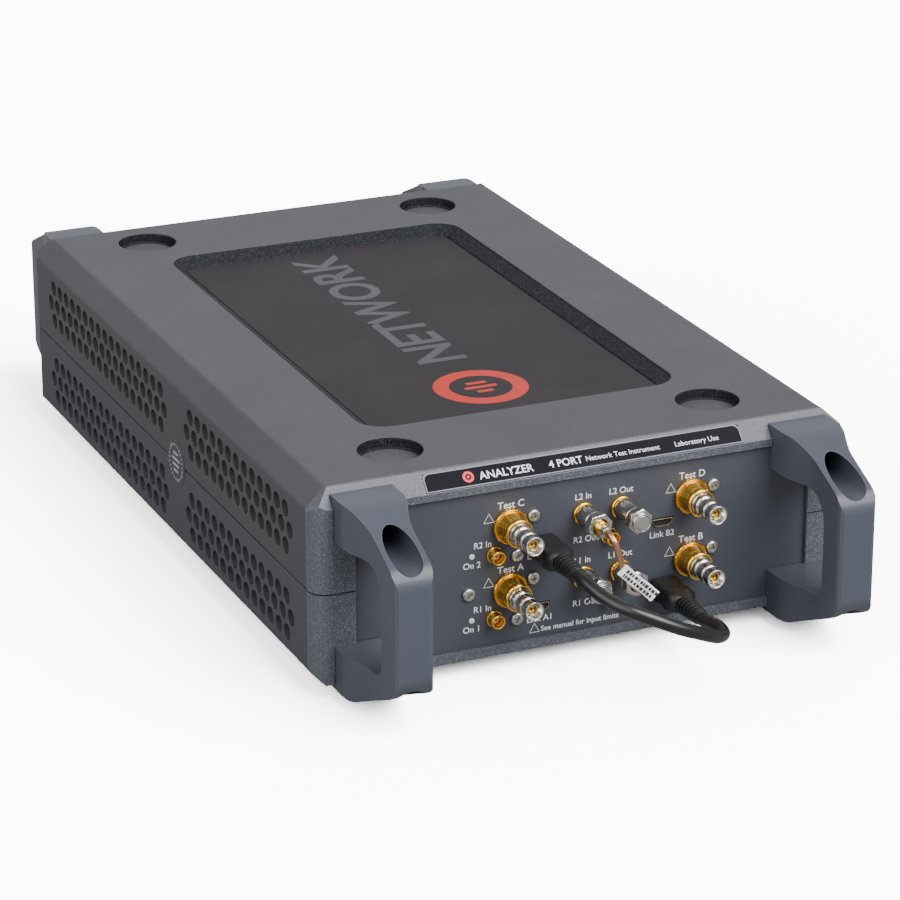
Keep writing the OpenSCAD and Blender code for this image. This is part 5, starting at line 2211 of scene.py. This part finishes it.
@dataclass
class Inside(Maker):
    """What shows through the vents: fans, fins and boards."""

    fan_x: float = 74 * MM
    fan_y: tuple[float, float] = (-75.5 * MM, 61.5 * MM)
    blades: int = 7

    def rotor(self, tree: NodeTree, y: float) -> Object:
        """Makes one rotor with curved blades.

        Args:
            tree: Tree that repeats the blade round the axis.
            y: Place of the fan.

        Returns:
            The rotor, not linked.
        """
        at = Matrix.Translation((self.fan_x, y, Z_MID)) @ Matrix.Rotation(math.radians(90), 4, "Y")
        rings: list[list[Point]] = []
        for i in range(9):
            radius = 10.0 + 16.8 * i / 8
            sweep = 0.5 * (i / 8) ** 1.5
            ring = []
            for step, off in (
                (-1, -0.35), (-0.5, -0.5), (0, -0.55), (0.5, -0.5), (1, -0.35), (1, 0.35), (0.5, 0.5),
                (0, 0.55), (-0.5, 0.5), (-1, 0.35)
            ):
                chord = 0.30 + 0.06 * i / 8
                angle = sweep + step * chord
                height = 8.2 + step * 4.0 + off + 0.5 * (1 - step * step)
                ring.append((radius * math.cos(angle) * MM, radius * math.sin(angle) * MM, height * MM))
            rings.append(ring)
        blade = place(loft("blade", rings), [self.shop["fan"]])
        made = tree.apply(
            points_object([(0.0, 0.0, 0.0)]), "blades", Blade=blade, Count=self.blades,
            Material=self.shop["fan"]
        )
        drop(blade)
        hub = [
            (0.0, 0.2), (1.5, 0.2), (1.5, 3.0), (10.0, 3.0), (10.5, 3.5), (10.5, 12.6), (9.7, 13.5),
            (0.0, 13.5)
        ]
        core = self.turned("fan", hub, Matrix.Identity(4), 48, 0.2)
        both = join("rotor", [made, core])
        both.data.transform(at)
        return both

    def build(self) -> None:
        """Builds the rotors and dresses the other inner nodes."""
        tree = NodeTree(
            "BladesRoundAxis",
            [
                ("Blade", "NodeSocketObject", None), ("Count", "NodeSocketInt", 7),
                ("Material", "NodeSocketMaterial", None)
            ]
        )
        source = tree.source.outputs
        info = tree.add("ObjectInfo", Object=source["Blade"])
        circle = tree.add("MeshCircle", Radius=0.001, Vertices=source["Count"])
        index = tree.add("InputIndex")
        turn = math_node(
            tree.tree, "DIVIDE", math_node(tree.tree, "MULTIPLY", index.outputs[0], FULL_TURN),
            source["Count"]
        )
        facing = tree.add("ShaderNodeCombineXYZ", Z=turn)
        euler = tree.tree.nodes.new("FunctionNodeEulerToRotation")
        tree.tree.links.new(facing.outputs[0], euler.inputs[0])
        centre = tree.add("SetPosition", Geometry=circle.outputs[0], Position=(0.0, 0.0, 0.0))
        on = tree.add(
            "InstanceOnPoints", Points=centre.outputs[0], Instance=info.outputs["Geometry"],
            Rotation=euler.outputs[0]
        )
        tree.finish(on.outputs[0], source["Material"])
        for y, name, body in (
            (self.fan_y[0], "front", Body.FAN_FRONT), (self.fan_y[1], "rear", Body.FAN_REAR)
        ):
            self.shop.add(
                self.rotor(tree, y), f"fan_wheel_{name}", Slot.FAN, [f"fan_rotor_{name}"], body=body,
                angle=40.0
            )
        self.shop.dress(
            {
                "chassis_tray": "aluminium", "front_board": "board", "rf_block_lower": "aluminium",
                "rf_block_upper": "aluminium",
                "module_board_lower": "board", "module_board_upper": "board", "heat_sinks": "aluminium",
                "power_board": "board",
                "fan_frames": "fan",
            }
        )


@dataclass
class Studio:
    """Camera, lights and floor.

    Attributes:
        eye: Place of the camera.
        right: Camera's right.
        back: Camera's back.
        focal: Focal length in picture widths.
        centre: Principal point in picture widths from the left and from the top.
        sky: Strength of the even sky light.
        bounce: Share of light that the floor throws back onto the object.
        floor_gain: Brightness of the floor as the camera sees it.
        backdrop: Brightness of the sky as the camera sees it.
    """

    eye: Point = (-0.5027, -1.1793, 0.5199)
    right: Point = (0.9156, -0.4021, 0.0)
    back: Point = (-0.375, -0.854, 0.361)
    focal: float = 4.1396
    centre: Flat = (0.50256, 0.49722)
    sky: float = 0.4
    bounce: float = 0.25
    floor_gain: float = 5.2
    backdrop: float = 9.0

    def camera(self) -> None:
        """Makes the camera at the reference viewing angle."""
        data = bpy.data.cameras.new("Camera")
        data.sensor_width = 36.0
        data.lens = 36.0 * self.focal
        data.shift_x = 0.5 - self.centre[0]
        data.shift_y = self.centre[1] - 0.5
        data.clip_start, data.clip_end = 0.05, 20.0
        data.dof.use_dof = False
        camera = bpy.data.objects.new("Camera", data)
        link(camera)
        back = Vector(self.back).normalized()
        right = (Vector(self.right) - back * Vector(self.right).dot(back)).normalized()
        up = back.cross(right)
        turn = Matrix((right, up, back)).transposed().to_4x4()
        camera.matrix_world = Matrix.Translation(self.eye) @ turn
        bpy.context.scene.camera = camera

    @staticmethod
    def sun(name: str, toward: Point, power: float, width: float) -> None:
        """Makes a wide, soft light at a great distance.

        Args:
            name: Name of the light.
            toward: Direction from the object to the light.
            power: Its strength.
            width: Its angular width in degrees.
        """
        data = bpy.data.lights.new(name, "SUN")
        data.energy, data.angle = power, math.radians(width)
        lamp = bpy.data.objects.new(name, data)
        link(lamp)
        lamp.rotation_mode = "QUATERNION"
        lamp.rotation_quaternion = Vector(toward).to_track_quat("Z", "Y")

    def build(self) -> None:
        """Builds floor, world and lights."""
        data = bpy.data.meshes.new("floor")
        half = 4.0
        data.from_pydata(
            [(-half, -half, 0), (half, -half, 0), (half, half, 0), (-half, half, 0)], [], [(0, 1, 2, 3)]
        )
        floor = bpy.data.objects.new("floor", data)
        link(floor)
        data.materials.append(self.pale())
        world = bpy.data.worlds.new("Studio")
        world.use_nodes = True
        world.node_tree.nodes["Background"].inputs["Color"].default_value = (1.0, 1.0, 1.0, 1)
        seen = world.node_tree.nodes.new("ShaderNodeLightPath").outputs["Is Camera Ray"]
        strength = math_node(world.node_tree, "MULTIPLY_ADD", seen, self.backdrop, self.sky)
        world.node_tree.links.new(strength, world.node_tree.nodes["Background"].inputs["Strength"])
        bpy.context.scene.world = world
        self.sun("Key", (0.30, -0.62, 0.72), 6.2, 50.0)
        self.sun("Fill", (-0.80, -0.35, 0.50), 2.3, 60.0)
        self.sun("Back", (0.45, 0.75, 0.48), 0.35, 60.0)

    def pale(self) -> Material:
        """Makes the pale floor: bright to the camera, a modest bounce onto the object."""
        made = bpy.data.materials.new("PaleFloor")
        made.use_nodes = True
        tree = made.node_tree
        tree.nodes.clear()
        sink = tree.nodes.new("ShaderNodeOutputMaterial")
        matte = tree.nodes.new("ShaderNodeBsdfDiffuse")
        seen = tree.nodes.new("ShaderNodeLightPath").outputs["Is Camera Ray"]
        low, high = ((self.bounce,) * 3 + (1.0,), (self.floor_gain,) * 3 + (1.0,))
        tree.links.new(mix_colour(tree, "MIX", seen, low, high), matte.inputs["Color"])
        tree.links.new(matte.outputs[0], sink.inputs["Surface"])
        return made


def main() -> None:
    """Builds the whole visual model in order."""
    logging.basicConfig(level=logging.INFO, format="%(name)s: %(message)s")
    studio = Studio()
    studio.camera()
    shop = Shop()
    ControlLead(shop).build()
    Jumper(shop).build()
    vents, pads = vent_tree(Cover(shop, True)), recess_tree()
    for upper in (True, False):
        Cover(shop, upper).build(vents, pads)
    for maker in (Handle, TestPorts, ThreadedJack, Couplings, SmallParts, Prints, RearFittings, Inside):
        maker(shop).build()
    shop.dress(
        {
            "bezel_front_upper": "bezel", "bezel_front_lower": "bezel", "bezel_rear_upper": "cover",
            "bezel_rear_lower": "cover_low",
            "front_panel": "panel", "rear_panel": "panel",
        }
    )
    studio.build()


if __name__ == "__main__":
    main()
